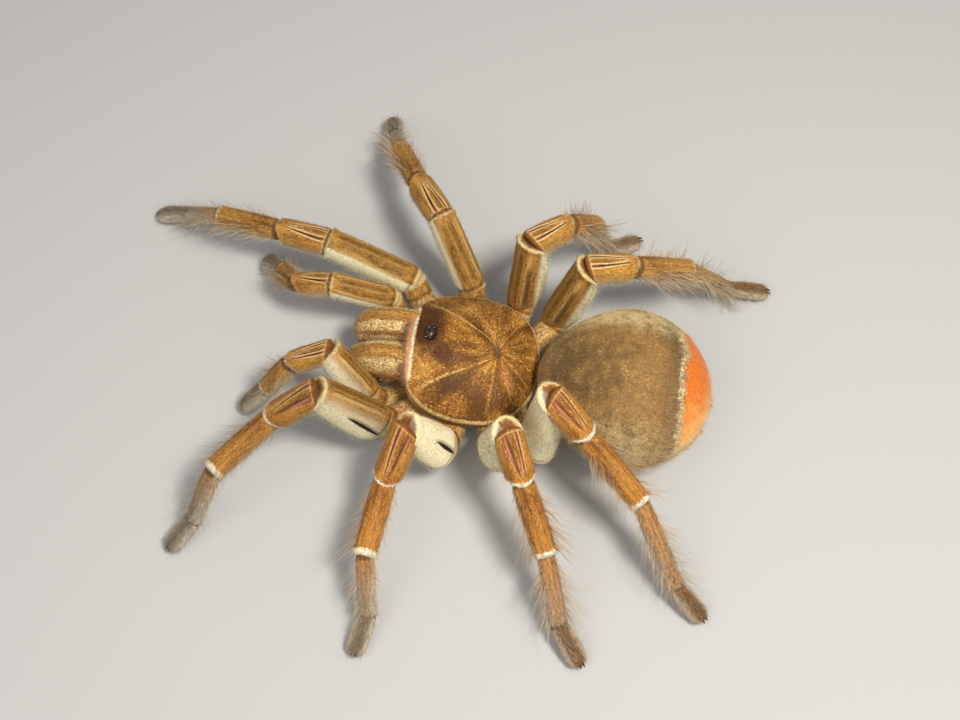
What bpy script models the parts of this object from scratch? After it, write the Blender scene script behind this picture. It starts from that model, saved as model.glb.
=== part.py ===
"""A goliath birdeater tarantula, an adult female, life size and still, standing on a level floor.

The animal faces -Y, its left side is +X, and the floor is z = 0. Each named part of the body is one
closed solid, and neighbours are parted by a thin cut. The origin is the bottom centre of the whole.
"""

import math

import bmesh
import bpy
import numpy as np
from mathutils import Vector

MM = 0.001
GAP = 0.3  # millimetres between two neighbours; every length below is in millimetres

CARAPACE_WIDTH = 40.5
CARAPACE_FRONT = 17.8  # how far the front edge lies ahead of the prosoma's centre
CARAPACE_REAR = 19.5
CARAPACE_UNDERSIDE = 15.0
CARAPACE_YAW = 3.5  # degrees the head is turned to its left
RIM_THICKNESS = 0.9
DOME_HEIGHT = 8.0
DOME_FRONT = 30.0  # where the dome would come down to the rim ahead: the front edge cuts it off before that
HEAD_HUMP = 4.0
HUMP_FORE = 12.0
HUMP_SPREAD = 9.5
HEAD_RISE = 0.083  # how fast the whole shield climbs from its rear edge to the head
FOVEA_FORE = -7.4
FOVEA_DEPTH = 1.4
FOVEA_SPREAD = 2.6
EYE_MOUND = (11.6, 0.0)  # fore, left: it sits on the head hump
EYE_MOUND_RADII = (1.9, 2.7, 1.7)

ABDOMEN_LENGTH = 50.0
ABDOMEN_WIDTH = 47.6
ABDOMEN_HEIGHT = 37.0
ABDOMEN_CENTRE = (-43.9, 2.2, 20.6)
ABDOMEN_YAW = 2.0
ABDOMEN_NARROWING = 0.2  # how much slimmer than an ellipsoid it is towards the waist

STERNUM_LENGTH = 33.0
STERNUM_WIDTH = 18.0
STERNUM_BOTTOM = 4.5
WAIST_END = (-21.6, 0.5, 11.0)  # where the narrow waist meets the abdomen

CHELICERA_TIP = 36.0
CHELICERA_SIDE = 5.5
CHELICERA_HALF_WIDTH = 5.35
CHELICERA_HALF_DEPTH = 7.2
FANG_ROOF = 9.0  # the level at which the folded fang meets the chelicera

# Each leg pair from the front, then the palps: lengths of femur, patella, tibia, metatarsus, tarsus.
LENGTHS = {
    "leg_1": (26.8, 17.0, 21.0, 18.5, 11.5),
    "leg_2": (23.0, 17.5, 20.5, 18.0, 11.5),
    "leg_3": (28.0, 14.5, 20.0, 20.0, 13.0),
    "leg_4": (30.2, 14.5, 23.0, 26.5, 12.5),
    "palp": (18.1, 13.5, 14.0, 13.0),
}
# Where the coxa starts beside the sternum, and where the femur starts: fore, outwards, height.
COXA_START = {
    "leg_1": (8.0, 9.2, 9.6),
    "leg_2": (0.8, 9.8, 9.6),
    "leg_3": (-6.4, 9.6, 9.6),
    "leg_4": (-13.4, 8.2, 9.6),
    "palp": (14.2, 6.4, 7.6),
}
HIP = {
    "leg_1": (23.0, 23.6, 14.6),
    "leg_2": (5.6, 26.5, 13.6),
    "leg_3": (-11.0, 25.2, 13.6),
    "leg_4": (-22.3, 21.2, 13.3),
    "palp": (28.0, 15.8, 15.6),
    ("left", "leg_2"): (3.2, 27.3, 14.4),  # this hip is swung back
}
TROCHANTER = 0.72  # where between those two the level coxa ends and the rising trochanter starts

# How each limb stands: its parts' turns away from straight ahead towards their own side, then their
# rises above the level, in degrees. A foot's last part has no rise: it reaches down to the floor.
STANCE = {
    ("right", "leg_1"): ((7, 9, 13, 22, 0), (20, -7, -14, -37)),
    ("right", "leg_2"): ((45, 53, 60, 68, 72), (49, -13, -25, -38)),
    ("right", "leg_3"): ((124, 130, 122, 130, 150), (86, -18, -49, -76)),
    ("right", "leg_4"): ((183, 154, 146, 149, 172), (77, -20, -36, -51)),
    ("right", "palp"): ((-11, 7, 50, 40), (28, -25, -39)),
    ("left", "leg_1"): ((16, 23, 53, 60, 53), (57, -38, -11, -53)),
    ("left", "leg_2"): ((35, 67, 87, 103, 80), (66, -48, -8, -47)),
    ("left", "leg_3"): ((128, 124, 122, 114, 133), (74, -43, -32, -38)),
    ("left", "leg_4"): ((196, 153, 146, 131, 146), (83, -38, -26, -39)),
    ("left", "palp"): ((-23, 12, 26, 24), (53, -30, -54)),
}

# Half widths and half depths along each part, from its body end to its far end.
GIRTH = {
    "coxa": ((3.4, 4.0, 4.3, 4.4), (3.8, 4.3, 4.4, 4.4)),
    "femur": ((4.8, 4.9, 4.6), (6.5, 6.1, 5.1)),
    "patella": ((4.5, 4.5, 4.3), (4.5, 4.4, 4.1)),
    "tibia": ((3.6, 3.6, 3.4), (3.8, 3.7, 3.4)),
    "foot": ((2.9, 2.9, 2.8, 2.7, 3.1, 3.0), (2.9, 2.8, 2.6, 2.2, 2.4, 2.1)),
    "palp_foot": ((3.1, 3.1, 2.9), (2.9, 2.8, 2.5)),
}
PALP_GIRTH = 0.86  # a palp's parts beside a leg's
FOOT_SINK = 0.35  # how much of each foot's underside the floor trims to a flat

COLOURS = {
    "carapace": (0.16, 0.075, 0.018),
    "abdomen": (0.17, 0.115, 0.05),
    "leg": (0.30, 0.14, 0.04),
    "foot": (0.22, 0.19, 0.15),
    "underside": (0.14, 0.09, 0.05),
    "eyes": (0.01, 0.007, 0.006),
    "fang": (0.012, 0.008, 0.008),
}

collection = bpy.data.collections.new("tarantula")
solids = {}


def clear_scene():
    for obj in list(bpy.data.objects):
        bpy.data.objects.remove(obj)


def place(fore, left, height):
    """A point of the body as world coordinates: the head points to -Y, and the left side to +X."""
    return np.array([left, -fore, height], float)


def direction(side, turn, rise):
    """A unit vector, turned away from straight ahead towards the given side, and raised."""
    outward = math.sin(math.radians(turn)) * (1 if side == "left" else -1)
    fore = math.cos(math.radians(turn))
    level = math.cos(math.radians(rise))
    return place(fore * level, outward * level, math.sin(math.radians(rise)))


def pod(path, half_widths, half_depths, side_vector, around=12, rings=7, fullness=0.28):
    """A sphere drawn out along a path: its poles are the ends, and its girth follows the two lists."""
    bm = bmesh.new()
    bmesh.ops.create_uvsphere(bm, u_segments=around, v_segments=rings, radius=1)
    path = np.array(path, float)
    lengths = np.linalg.norm(np.diff(path, axis=0), axis=1)
    stations = np.concatenate([[0.0], np.cumsum(lengths)]) / lengths.sum()

    def at(t):
        return np.array([np.interp(t, stations, path[:, axis]) for axis in range(3)])

    def along(values, t):
        return np.interp(t, np.linspace(0, 1, len(values)), values)

    for vert in bm.verts:
        t = (1 - vert.co.z) / 2
        tangent = at(t + 0.08) - at(t - 0.08)
        tangent /= np.linalg.norm(tangent)
        side = side_vector - np.dot(side_vector, tangent) * tangent
        side /= np.linalg.norm(side)
        dorsal = np.cross(side, tangent)
        ring = math.hypot(vert.co.x, vert.co.y)
        if ring < 1e-6:
            vert.co = Vector(at(t))
            continue
        swell = ring**fullness / ring
        centre = (at(t - 0.05) + at(t) + at(t + 0.05)) / 3 if 0.06 < t < 0.94 else at(t)
        across = side * vert.co.x * along(half_widths, t) + dorsal * vert.co.y * along(half_depths, t)
        vert.co = Vector(centre + across * swell)
    return bm


def cut(bm, point, normal):
    """Takes away what lies on the normal's side of the plane, and closes the cut with a flat face."""
    result = bmesh.ops.bisect_plane(
        bm,
        geom=bm.verts[:] + bm.edges[:] + bm.faces[:],
        dist=0.02,
        plane_co=Vector(point),
        plane_no=Vector(normal),
        clear_outer=True,
    )
    rim = [item for item in result["geom_cut"] if isinstance(item, bmesh.types.BMEdge) and item.is_boundary]
    if rim:
        bmesh.ops.contextual_create(bm, geom=rim)
    bmesh.ops.remove_doubles(bm, verts=bm.verts, dist=0.02)
    bmesh.ops.dissolve_degenerate(bm, edges=bm.edges, dist=0.02)


def part_from(first, second, point, normal):
    """Parts two neighbours with a thin cut: the first keeps what lies behind the plane."""
    normal = np.array(normal, float) / np.linalg.norm(normal)
    cut(first, point - normal * GAP / 2, normal)
    cut(second, point + normal * GAP / 2, -normal)


def add_limb(side, kind):
    """Coxa with trochanter, femur, patella, tibia and foot, or the palp's like parts."""
    turns, rises = STANCE[side, kind]
    lengths = LENGTHS[kind]
    flip = 1 if side == "left" else -1
    scale = PALP_GIRTH if kind == "palp" else 1.0

    def own_side(fore, outward, height):
        return place(fore, outward * flip, height)

    start = own_side(*COXA_START[kind])
    hip = own_side(*HIP.get((side, kind), HIP[kind]))
    joints = [hip]
    for turn, rise, length in zip(turns, rises, lengths):
        joints.append(joints[-1] + direction(side, turn, rise) * length)
    ankle = joints[-1]
    last = len(lengths) - 1

    # The leg's own plane: its side vector is level and square to the way the leg runs.
    run = joints[-1] - joints[1]
    side_vector = np.cross(run, (0, 0, 1))
    side_vector /= np.linalg.norm(side_vector)

    def tip_at(level):
        drop = min((level - ankle[2]) / lengths[last], -0.05)
        rise = math.degrees(math.asin(max(drop, -0.98)))
        return ankle + direction(side, turns[last], rise) * lengths[last]

    def foot_pod(level):
        if kind == "palp":
            path = [ankle - run_on(ankle - joints[-2], 1.5), tip_at(level)]
            return pod(path, *GIRTH["palp_foot"], side_vector, rings=9)
        path = [joints[-2] - run_on(ankle - joints[-2], 1.5), ankle, tip_at(level)]
        return pod(path, *GIRTH["foot"], side_vector, rings=11)

    # The last part is lowered until the floor trims the same thin slice from every foot.
    level = 2.0
    for _ in range(8):
        foot = foot_pod(level)
        level -= min(vert.co.z for vert in foot.verts) + FOOT_SINK
    foot = foot_pod(level)
    cut(foot, (0, 0, 0), (0, 0, -1))
    joints.append(tip_at(level))

    bend = start + (hip - start) * TROCHANTER
    bend[2] = start[2] + 0.6
    parts = {"coxa": pod([start - run_on(bend - start, 1.0), bend, hip + run_on(hip - bend, 1.5)],
                         *thick("coxa", scale * (0.92 if kind == "palp" else 1.0)), side_vector, 10, 7)}
    points = [bend, *joints]
    names = ["femur", "patella", "tibia"]
    for index, name in enumerate(names):
        before, first, second, after = points[index : index + 4]
        girth = thick(name, scale)
        knuckles = [overrun(first - before, second - first, girth), overrun(second - first, after - second, girth)]
        way = run_on(second - first, 1.0)
        path = [first - way * knuckles[0], second + way * knuckles[1]]
        parts[name] = pod(path, *girth, side_vector)
    parts["foot"] = foot

    order = ["coxa", *names, "foot"]
    for index, (first, second) in enumerate(zip(order, order[1:])):
        joint = points[index + 1]
        before = run_on(joint - points[index], 1.0)
        after = run_on(points[index + 2] - joint, 1.0)
        part_from(parts[first], parts[second], joint, before + after)
    for name, bm in parts.items():
        keep(f"{kind}_{side}_{name}", bm, "foot" if name == "foot" else "leg", joints[0])
    return start, hip, parts["coxa"]


def thick(name, scale):
    half_widths, half_depths = GIRTH[name]
    return [value * scale for value in half_widths], [value * scale for value in half_depths]


def run_on(vector, length):
    return vector / np.linalg.norm(vector) * length


def overrun(before, after, girth):
    """How far a part runs past its joint, so that a sharply bent joint still has a round knuckle."""
    cosine = np.dot(run_on(before, 1.0), run_on(after, 1.0))
    half_bend = math.acos(max(-1.0, min(1.0, cosine))) / 2
    return min(1.3 + girth[1][0] * math.tan(half_bend), girth[1][0] * 1.05)


def keep(name, bm, colour, origin=(0, 0, 0)):
    solids[name] = (bm, colour, np.array(origin, float))


def outline(angle, front=CARAPACE_FRONT + 3.2):
    """The carapace's edge seen from above: nearly round, fuller ahead; the angle is from straight ahead."""
    fore_reach = front if math.cos(angle) > 0 else CARAPACE_REAR
    power = 2.35
    across = abs(math.sin(angle)) / (CARAPACE_WIDTH / 2)
    fore = abs(math.cos(angle)) / fore_reach
    return (across**power + fore**power) ** (-1 / power)


def carapace_height(fore, left):
    """How high the shield stands above its rim. It falls with reach, which runs from 0 at the middle to 1
    at the sides and rear, and to less than 1 in front, where the shield ends in a low wall."""
    reach = math.hypot(fore, left) / outline(math.atan2(left, fore), DOME_FRONT)
    dome = DOME_HEIGHT * (1 - reach**2.6)
    hump = HEAD_HUMP * math.exp(-((fore - HUMP_FORE) ** 2 + left**2) / HUMP_SPREAD**2) * (1 - reach**6)
    pit = FOVEA_DEPTH * math.exp(-((fore - FOVEA_FORE) ** 2 * 2 + left**2) / FOVEA_SPREAD**2)
    return dome + hump - pit


def rim_level(fore):
    """The level of the carapace's edge, which climbs towards the head."""
    return CARAPACE_UNDERSIDE + RIM_THICKNESS + HEAD_RISE * (fore + CARAPACE_REAR)


def shield_level(fore, left):
    """The level of the carapace's upper face at a place well inside its edge."""
    return rim_level(fore) + carapace_height(fore, left)


def turned(fore, left):
    """A place on the carapace after the head's slight turn to the left, as fore and left."""
    yaw = math.radians(CARAPACE_YAW)
    return fore * math.cos(yaw) - left * math.sin(yaw), left * math.cos(yaw) + fore * math.sin(yaw)


def add_carapace():
    bm = bmesh.new()
    bmesh.ops.create_uvsphere(bm, u_segments=24, v_segments=14, radius=1)
    for vert in bm.verts:
        reach = min(1.0, math.hypot(vert.co.x, vert.co.y))
        angle = math.atan2(vert.co.x, vert.co.y)
        span = reach * outline(angle)
        fore, left = span * math.cos(angle), span * math.sin(angle)
        level = rim_level(fore)
        if vert.co.z > 1e-4:
            level += carapace_height(fore, left)
        elif vert.co.z < -1e-4:
            level = CARAPACE_UNDERSIDE - 1.0
        vert.co = Vector(place(*turned(fore, left), level))
    cut(bm, place(0, 0, CARAPACE_UNDERSIDE), (0, 0, -1))
    cut(bm, place(*turned(CARAPACE_FRONT, 0), 0), place(*turned(1, 0), -0.05))
    return bm


def add_body():
    carapace = add_carapace()

    abdomen = bmesh.new()
    bmesh.ops.create_uvsphere(abdomen, u_segments=24, v_segments=14, radius=1)
    yaw = math.radians(ABDOMEN_YAW)
    for vert in abdomen.verts:
        ahead = vert.co.z
        slim = 1 - ABDOMEN_NARROWING * max(0.0, ahead) ** 1.5
        fore = ahead * ABDOMEN_LENGTH / 2
        left = -vert.co.x * ABDOMEN_WIDTH / 2 * slim
        up = vert.co.y * ABDOMEN_HEIGHT / 2 * slim
        swung = (fore * math.cos(yaw) + left * math.sin(yaw), left * math.cos(yaw) - fore * math.sin(yaw), up)
        vert.co = Vector(place(*(np.array(ABDOMEN_CENTRE) + swung)))

    level_side = np.array([1.0, 0, 0])
    half_height = (CARAPACE_UNDERSIDE - GAP - STERNUM_BOTTOM) / 2
    mid_height = STERNUM_BOTTOM + half_height
    half_width = STERNUM_WIDTH / 2
    sternum = pod(
        [place(STERNUM_LENGTH / 2, 0, mid_height), place(*WAIST_END) + place(-2.5, 0, 0)],
        (half_width * 0.9, half_width, half_width, half_width * 0.8, 3.2, 2.8),
        (half_height * 1.08, half_height * 1.08, half_height * 1.08, half_height, 2.9, 2.7),
        level_side,
        14,
        10,
    )
    cut(sternum, place(0, 0, CARAPACE_UNDERSIDE - GAP), (0, 0, 1))

    part_from(sternum, abdomen, place(*WAIST_END), place(-1, 0, 0))
    part_from(carapace, abdomen, place(-CARAPACE_REAR - 0.6, 0, 17), place(-1, 0, 0.25))

    # The mound stands level on the sloping hump, and its base is cut to the hump's own slope.
    mound_fore, mound_left = EYE_MOUND
    base = shield_level(mound_fore, mound_left) + GAP
    slope = shield_level(mound_fore + 0.5, mound_left) - shield_level(mound_fore - 0.5, mound_left)
    bm = bmesh.new()
    bmesh.ops.create_uvsphere(bm, u_segments=14, v_segments=8, radius=1)
    long, wide, high = EYE_MOUND_RADII
    for vert in bm.verts:
        vert.co = Vector(place(mound_fore + vert.co.x * long, mound_left + vert.co.y * wide,
                               base + vert.co.z * high))
    cut(bm, place(mound_fore, mound_left, base), place(slope, 0, -1))
    keep("eye_mound", bm, "eyes", place(mound_fore, mound_left, base))

    for side, flip in (("left", 1), ("right", -1)):
        chelicera = pod(
            [place(fore, CHELICERA_SIDE * flip, height) for fore, height in
             ((CARAPACE_FRONT - 4, 19.2), (24.5, 19.5), (30.5, 17.4), (CHELICERA_TIP, 13.6))],
            [CHELICERA_HALF_WIDTH * share for share in (0.97, 1.0, 1.0, 0.86)],
            [CHELICERA_HALF_DEPTH * share for share in (0.97, 1.0, 0.98, 0.76)],
            level_side,
            12,
            10,
        )
        cut(chelicera, place(*turned(CARAPACE_FRONT + GAP, 0), 0), place(*turned(-1, 0), 0.05))
        fang = pod(
            [place(fore, across * flip, height) for fore, across, height in
             ((33.0, 5.4, 11.0), (33.6, 5.3, 6.4), (30.0, 5.1, 3.9), (25.0, 4.8, 3.2), (20.5, 4.5, 3.6))],
            (1.9, 1.7, 1.3, 0.9, 0.6), (1.9, 1.7, 1.3, 0.9, 0.6), level_side, 8, 9,
        )
        part_from(fang, chelicera, place(0, 0, FANG_ROOF), (0, 0, 1))
        keep(f"chelicera_{side}", chelicera, "leg", place(CARAPACE_FRONT, CHELICERA_SIDE * flip, 14))
        keep(f"fang_{side}", fang, "fang", place(34, CHELICERA_SIDE * flip, 6))
        spinneret = pod(
            [place(-60.5, 3.0 * flip, 6.6), place(-65.0, 3.4 * flip, 4.2), place(-69.5, 4.0 * flip, 3.6)],
            (2.0, 1.7, 1.3, 0.9), (1.9, 1.6, 1.2, 0.9), level_side, 8, 7,
        )
        part_from(abdomen, spinneret, place(-61.4, 0, 5.9), place(-0.75, 0, -1))
        keep(f"spinneret_{side}", spinneret, "abdomen", place(-66, 3 * flip, 7))

    keep("carapace", carapace, "carapace")
    keep("sternum", sternum, "underside")
    keep("abdomen", abdomen, "abdomen", place(*ABDOMEN_CENTRE))
    return sternum


def add_limbs(sternum):
    """The five limbs of each side. Neighbouring coxae, and the sternum, are parted by upright cuts."""
    order = ("palp", "leg_1", "leg_2", "leg_3", "leg_4")
    for side in ("left", "right"):
        limbs = [add_limb(side, kind) for kind in order]
        for start, hip, coxa in limbs:
            way = (hip - start) * (1, 1, 0)
            part_from(sternum, coxa, start, way)
        flip = 1 if side == "left" else -1
        beside_chelicera = place(19.0, 9.0 * flip, 9.6)
        part_from(solids[f"chelicera_{side}"][0], limbs[0][2], beside_chelicera, place(0, 0.6 * flip, -0.8))
        for (start_a, hip_a, coxa_a), (start_b, hip_b, coxa_b) in zip(limbs, limbs[1:]):
            way = run_on(hip_a - start_a, 1.0) + run_on(hip_b - start_b, 1.0)
            across = np.cross(way, (0, 0, 1))
            if np.dot(across, start_b - start_a) < 0:
                across = -across
            part_from(coxa_a, coxa_b, (start_a + start_b) / 2, across)


def material(name):
    made = bpy.data.materials.new(name)
    made.use_nodes = True
    shader = made.node_tree.nodes["Principled BSDF"]
    shader.inputs["Base Color"].default_value = (*COLOURS[name], 1)
    shader.inputs["Roughness"].default_value = 0.25 if name in ("eyes", "fang") else 0.75
    shader.inputs["Metallic"].default_value = 0.0
    return made


def place_solids():
    """Makes the objects, and shifts them all so that the origin is the bottom centre of the whole."""
    points = np.array([vert.co[:] for bm, _, _ in solids.values() for vert in bm.verts])
    middle = (points.min(axis=0) + points.max(axis=0)) / 2
    stand = bpy.data.objects.new("tarantula_stands_here", None)
    stand.location = Vector((-middle[0], -middle[1], 0)) * MM
    collection.objects.link(stand)
    materials = {name: material(name) for name in COLOURS}
    for name, (bm, colour, origin) in solids.items():
        for vert in bm.verts:
            vert.co = (vert.co - Vector(origin)) * MM
        bmesh.ops.recalc_face_normals(bm, faces=bm.faces)
        mesh = bpy.data.meshes.new(name)
        bm.to_mesh(mesh)
        bm.free()
        mesh.materials.append(materials[colour])
        mesh.shade_smooth()
        mesh.set_sharp_from_angle(angle=math.radians(50))
        obj = bpy.data.objects.new(name, mesh)
        obj.location = Vector(origin) * MM
        obj.parent = stand
        collection.objects.link(obj)


clear_scene()
bpy.context.scene.collection.children.link(collection)
add_limbs(add_body())
place_solids()
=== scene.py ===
import math

import bpy
import numpy as np
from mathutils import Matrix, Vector

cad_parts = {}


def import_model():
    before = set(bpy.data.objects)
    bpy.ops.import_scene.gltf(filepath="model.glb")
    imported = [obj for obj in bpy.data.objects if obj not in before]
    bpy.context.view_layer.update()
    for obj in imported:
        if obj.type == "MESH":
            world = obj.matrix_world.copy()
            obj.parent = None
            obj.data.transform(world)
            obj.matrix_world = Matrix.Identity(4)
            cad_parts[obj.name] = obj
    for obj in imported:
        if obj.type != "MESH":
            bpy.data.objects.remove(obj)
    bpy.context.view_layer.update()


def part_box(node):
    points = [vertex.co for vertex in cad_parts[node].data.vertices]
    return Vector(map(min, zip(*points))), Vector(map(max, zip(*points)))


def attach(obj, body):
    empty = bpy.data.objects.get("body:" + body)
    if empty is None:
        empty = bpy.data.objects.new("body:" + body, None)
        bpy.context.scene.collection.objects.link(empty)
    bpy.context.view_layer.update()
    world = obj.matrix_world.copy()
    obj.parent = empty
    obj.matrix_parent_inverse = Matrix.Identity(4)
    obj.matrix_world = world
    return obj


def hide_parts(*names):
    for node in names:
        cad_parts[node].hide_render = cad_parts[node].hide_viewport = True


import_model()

# ------------------------------------------------------------------------------------------- stand
# The animal stands on a plain pale floor, in a pale room with a warm lamp high behind its left side and
# a large soft one ahead of it on the left. Every length is in millimetres, measured from the floor under
# the middle of the prosoma.
MM = 0.001
SHIELD_REAR = 19.5
shield_low, shield_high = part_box("carapace")
MIDDLE = np.array([(shield_low.x + shield_high.x) / 2 / MM, shield_high.y / MM - SHIELD_REAR, 0.0])
LOOK_AT = MIDDLE + (-8.88, 0.62, 0.0)
CAMERA_ROUND, CAMERA_UP, CAMERA_FAR = 101, 63, 400.0  # two angles in degrees, and the distance
LENS, SENSOR = 49.67, 36.0


def place(fore, left, height):
    """Numbers or arrays become points: x is left, y is back from the head, z is up, from the middle."""
    return np.stack(np.broadcast_arrays(left, -np.asarray(fore, float), height), axis=-1) + MIDDLE


def out_from_stand(around, up, far):
    """The point that far from the floor under the waist, turned and raised by two angles in degrees."""
    turn, rise = math.radians(around), math.radians(up)
    level = math.cos(rise)
    way = np.array([level * math.sin(turn), -level * math.cos(turn), math.sin(rise)])
    return Vector((LOOK_AT + way * far) * MM)


def aim(thing, around, up, far):
    """Puts a camera or lamp at that point and turns its -Z axis to the floor under the waist."""
    made = bpy.data.objects.new(thing.name, thing)
    made.location = out_from_stand(around, up, far)
    made.rotation_mode = "QUATERNION"
    made.rotation_quaternion = (Vector(LOOK_AT * MM) - made.location).to_track_quat("-Z", "Y")
    bpy.context.scene.collection.objects.link(made)
    return made


camera = bpy.data.cameras.new("camera")
camera.lens = LENS
camera.sensor_width = SENSOR
camera.clip_start, camera.clip_end = 0.01, 20
bpy.context.scene.camera = aim(camera, CAMERA_ROUND, CAMERA_UP, CAMERA_FAR)
bpy.context.scene.view_settings.view_transform = "Standard"


def lamp(name, around, up, far, size, watts, colour):
    light = bpy.data.lights.new(name, "AREA")
    light.size = size * MM
    light.energy = watts
    light.color = colour
    aim(light, around, up, far)


lamp("key_lamp", 150, 66, 620, 120, 4.0, (1.0, 0.94, 0.83))
lamp("fill_lamp", 60, 50, 700, 520, 1.5, (1.0, 0.97, 0.92))

world = bpy.data.worlds.new("room")
world.use_nodes = True
walls = world.node_tree.nodes["Background"]
walls.inputs["Color"].default_value = (1.0, 0.97, 0.93, 1)
walls.inputs["Strength"].default_value = 0.34
bpy.context.scene.world = world

FLOOR_HALF = 1.6
floor_mesh = bpy.data.meshes.new("floor")
floor_corners = [(x * FLOOR_HALF, y * FLOOR_HALF, 0) for x, y in ((-1, -1), (1, -1), (1, 1), (-1, 1))]
floor_mesh.from_pydata(floor_corners, [], [(0, 1, 2, 3)])
floor = bpy.data.objects.new("floor", floor_mesh)
bpy.context.scene.collection.objects.link(floor)
floor_paint = bpy.data.materials.new("floor_paint")
floor_paint.use_nodes = True
floor_shader = floor_paint.node_tree.nodes["Principled BSDF"]
floor_shader.inputs["Base Color"].default_value = (0.46, 0.465, 0.48, 1)
floor_shader.inputs["Roughness"].default_value = 0.8
floor_mesh.materials.append(floor_paint)

# ------------------------------------------------------------------------------------------- limbs
# Eight legs and two palps: shell tubes of coxa, trochanter, femur, patella, tibia, metatarsus and
# tarsus, hinged by soft folds. Each part ends in a hairy cuff, close behind the next one's round end.
LENGTHS = {  # from the femur outwards
    "leg_1": (26.8, 17.0, 21.0, 18.5, 11.5),
    "leg_2": (23.0, 17.5, 20.5, 18.0, 11.5),
    "leg_3": (28.0, 14.5, 20.0, 20.0, 13.0),
    "leg_4": (30.2, 14.5, 23.0, 26.5, 12.5),
    "palp": (18.1, 13.5, 14.0, 13.0),
}
COXA_START = {  # fore, outwards, height
    "leg_1": (8.0, 9.2, 9.6),
    "leg_2": (0.8, 9.8, 9.6),
    "leg_3": (-6.4, 9.6, 9.6),
    "leg_4": (-13.4, 8.2, 9.6),
    "palp": (14.2, 6.4, 7.6),
}
HIP = {  # the joint where the femur starts
    "leg_1": (23.0, 23.6, 14.6),
    "leg_2": (5.6, 26.5, 13.6),
    "leg_3": (-11.0, 25.2, 13.6),
    "leg_4": (-22.3, 21.2, 13.3),
    "palp": (28.0, 15.8, 15.6),
    ("left", "leg_2"): (3.2, 27.3, 14.4),  # this hip is swung back
}
TROCHANTER = 0.72  # where between those two the level coxa ends
TIP_LEVEL = 1.95  # how high the middle of a tarsus is at its tip
STANCE = {  # turns from straight ahead towards the limb's own side, then rises, in degrees
    ("right", "leg_1"): ((7, 9, 13, 22, 0), (20, -7, -14, -37)),
    ("right", "leg_2"): ((45, 53, 60, 68, 72), (49, -13, -25, -38)),
    ("right", "leg_3"): ((124, 130, 122, 130, 150), (86, -18, -49, -76)),
    ("right", "leg_4"): ((183, 154, 146, 149, 172), (77, -20, -36, -51)),
    ("right", "palp"): ((-11, 7, 50, 40), (28, -25, -39)),
    ("left", "leg_1"): ((16, 23, 53, 60, 53), (57, -38, -11, -53)),
    ("left", "leg_2"): ((35, 67, 87, 103, 80), (66, -48, -8, -47)),
    ("left", "leg_3"): ((128, 124, 122, 114, 133), (74, -43, -32, -38)),
    ("left", "leg_4"): ((196, 153, 146, 131, 146), (83, -38, -26, -39)),
    ("left", "palp"): ((-23, 12, 26, 24), (53, -30, -54)),
}
# Half widths and half depths at the start, middle and end of each part.
GIRTH = {
    "coxa": ((3.4, 4.0, 4.3), (3.8, 4.3, 4.4)),
    "trochanter": ((4.2, 4.4, 4.5), (4.2, 4.4, 4.5)),
    "femur": ((4.8, 4.9, 4.6), (6.5, 6.1, 5.1)),
    "patella": ((4.4, 4.5, 4.3), (4.4, 4.4, 4.1)),
    "tibia": ((3.5, 3.6, 3.45), (3.7, 3.7, 3.4)),
    "metatarsus": ((2.7, 2.85, 2.7), (2.7, 2.7, 2.25)),
    "tarsus": ((2.6, 3.05, 2.9), (2.2, 2.4, 2.1)),
    "palp_tarsus": ((2.9, 3.1, 2.9), (2.7, 2.8, 2.5)),
}
PALP_GIRTH = 0.86  # beside a leg's
COAT_DEPTH = 0.32  # how far the skin lies inside the outline that the coat fills
# The most that the knee's two ends lean, the patella's and the femur's, as shares of the girth.
MOST_LEAN = {"left": (0.78, 0.27), "right": (0.75, 0.75)}
PART_CODE = {"coxa": 0, "trochanter": 1, "femur": 2, "patella": 3, "tibia": 4, "metatarsus": 5,
             "tarsus": 6, "palp_tarsus": 6, "chelicera": 7}
FLIP = {"left": 1, "right": -1}
RINGS, AROUND = 44, 52
POLE_POWER = 2.5  # of the superellipse that rounds each end of a part
TIP_CAP = 3.4  # how far back from its tip a foot rounds off
LIP = 1.2  # a cuff's rim stays this far behind the end that covers the joint
SOLE_LEVEL, HAIR_LEVEL = 0.12, 0.06  # the lowest that skin and hair go


def unit(vector):
    """The same direction with length 1, for one vector or an array of them."""
    return vector / np.linalg.norm(vector, axis=-1, keepdims=True)


def direction(side, turn, rise):
    """A unit vector: cosine of the turn ahead, sine of it outwards, all raised by the second angle."""
    turn, rise = math.radians(turn), math.radians(rise)
    level = math.cos(rise)
    return np.array([math.sin(turn) * FLIP[side] * level, -math.cos(turn) * level, math.sin(rise)])


def joints_of(side, kind):
    """The limb's joints in order: each lies one part's length from the last, the tip near the floor."""
    turns, rises = STANCE[side, kind]
    start, hip = (place(fore, out * FLIP[side], up)
                  for fore, out, up in (COXA_START[kind], HIP.get((side, kind), HIP[kind])))
    bend = start + (hip - start) * TROCHANTER
    bend[2] = start[2] + 0.6
    joints = [start, bend, hip]
    for turn, rise, length in zip(turns, rises, LENGTHS[kind]):
        joints.append(joints[-1] + direction(side, turn, rise) * length)
    last = LENGTHS[kind][-1]
    drop = max(-0.98, min(-0.05, (TIP_LEVEL - joints[-1][2]) / last))
    joints.append(joints[-1] + direction(side, turns[-1], math.degrees(math.asin(drop))) * last)
    return joints


def record(name, side, start, end, across, widths, depths, overs, leans, cell):
    """What the skin, the coat and the paint need to know of one part."""
    length = float(np.linalg.norm(end - start))
    way = unit(end - start)
    return {"name": name, "code": PART_CODE[name], "flip": FLIP[side], "cell": cell, "start": start,
            "way": way, "across": across, "dorsal": np.cross(across, way), "length": length,
            "back": overs[0], "ahead": overs[1], "total": length + overs[0] + overs[1],
            "lip": max(0.0, overs[1] - LIP), "leans": leans, "widths": widths, "depths": depths}


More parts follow.
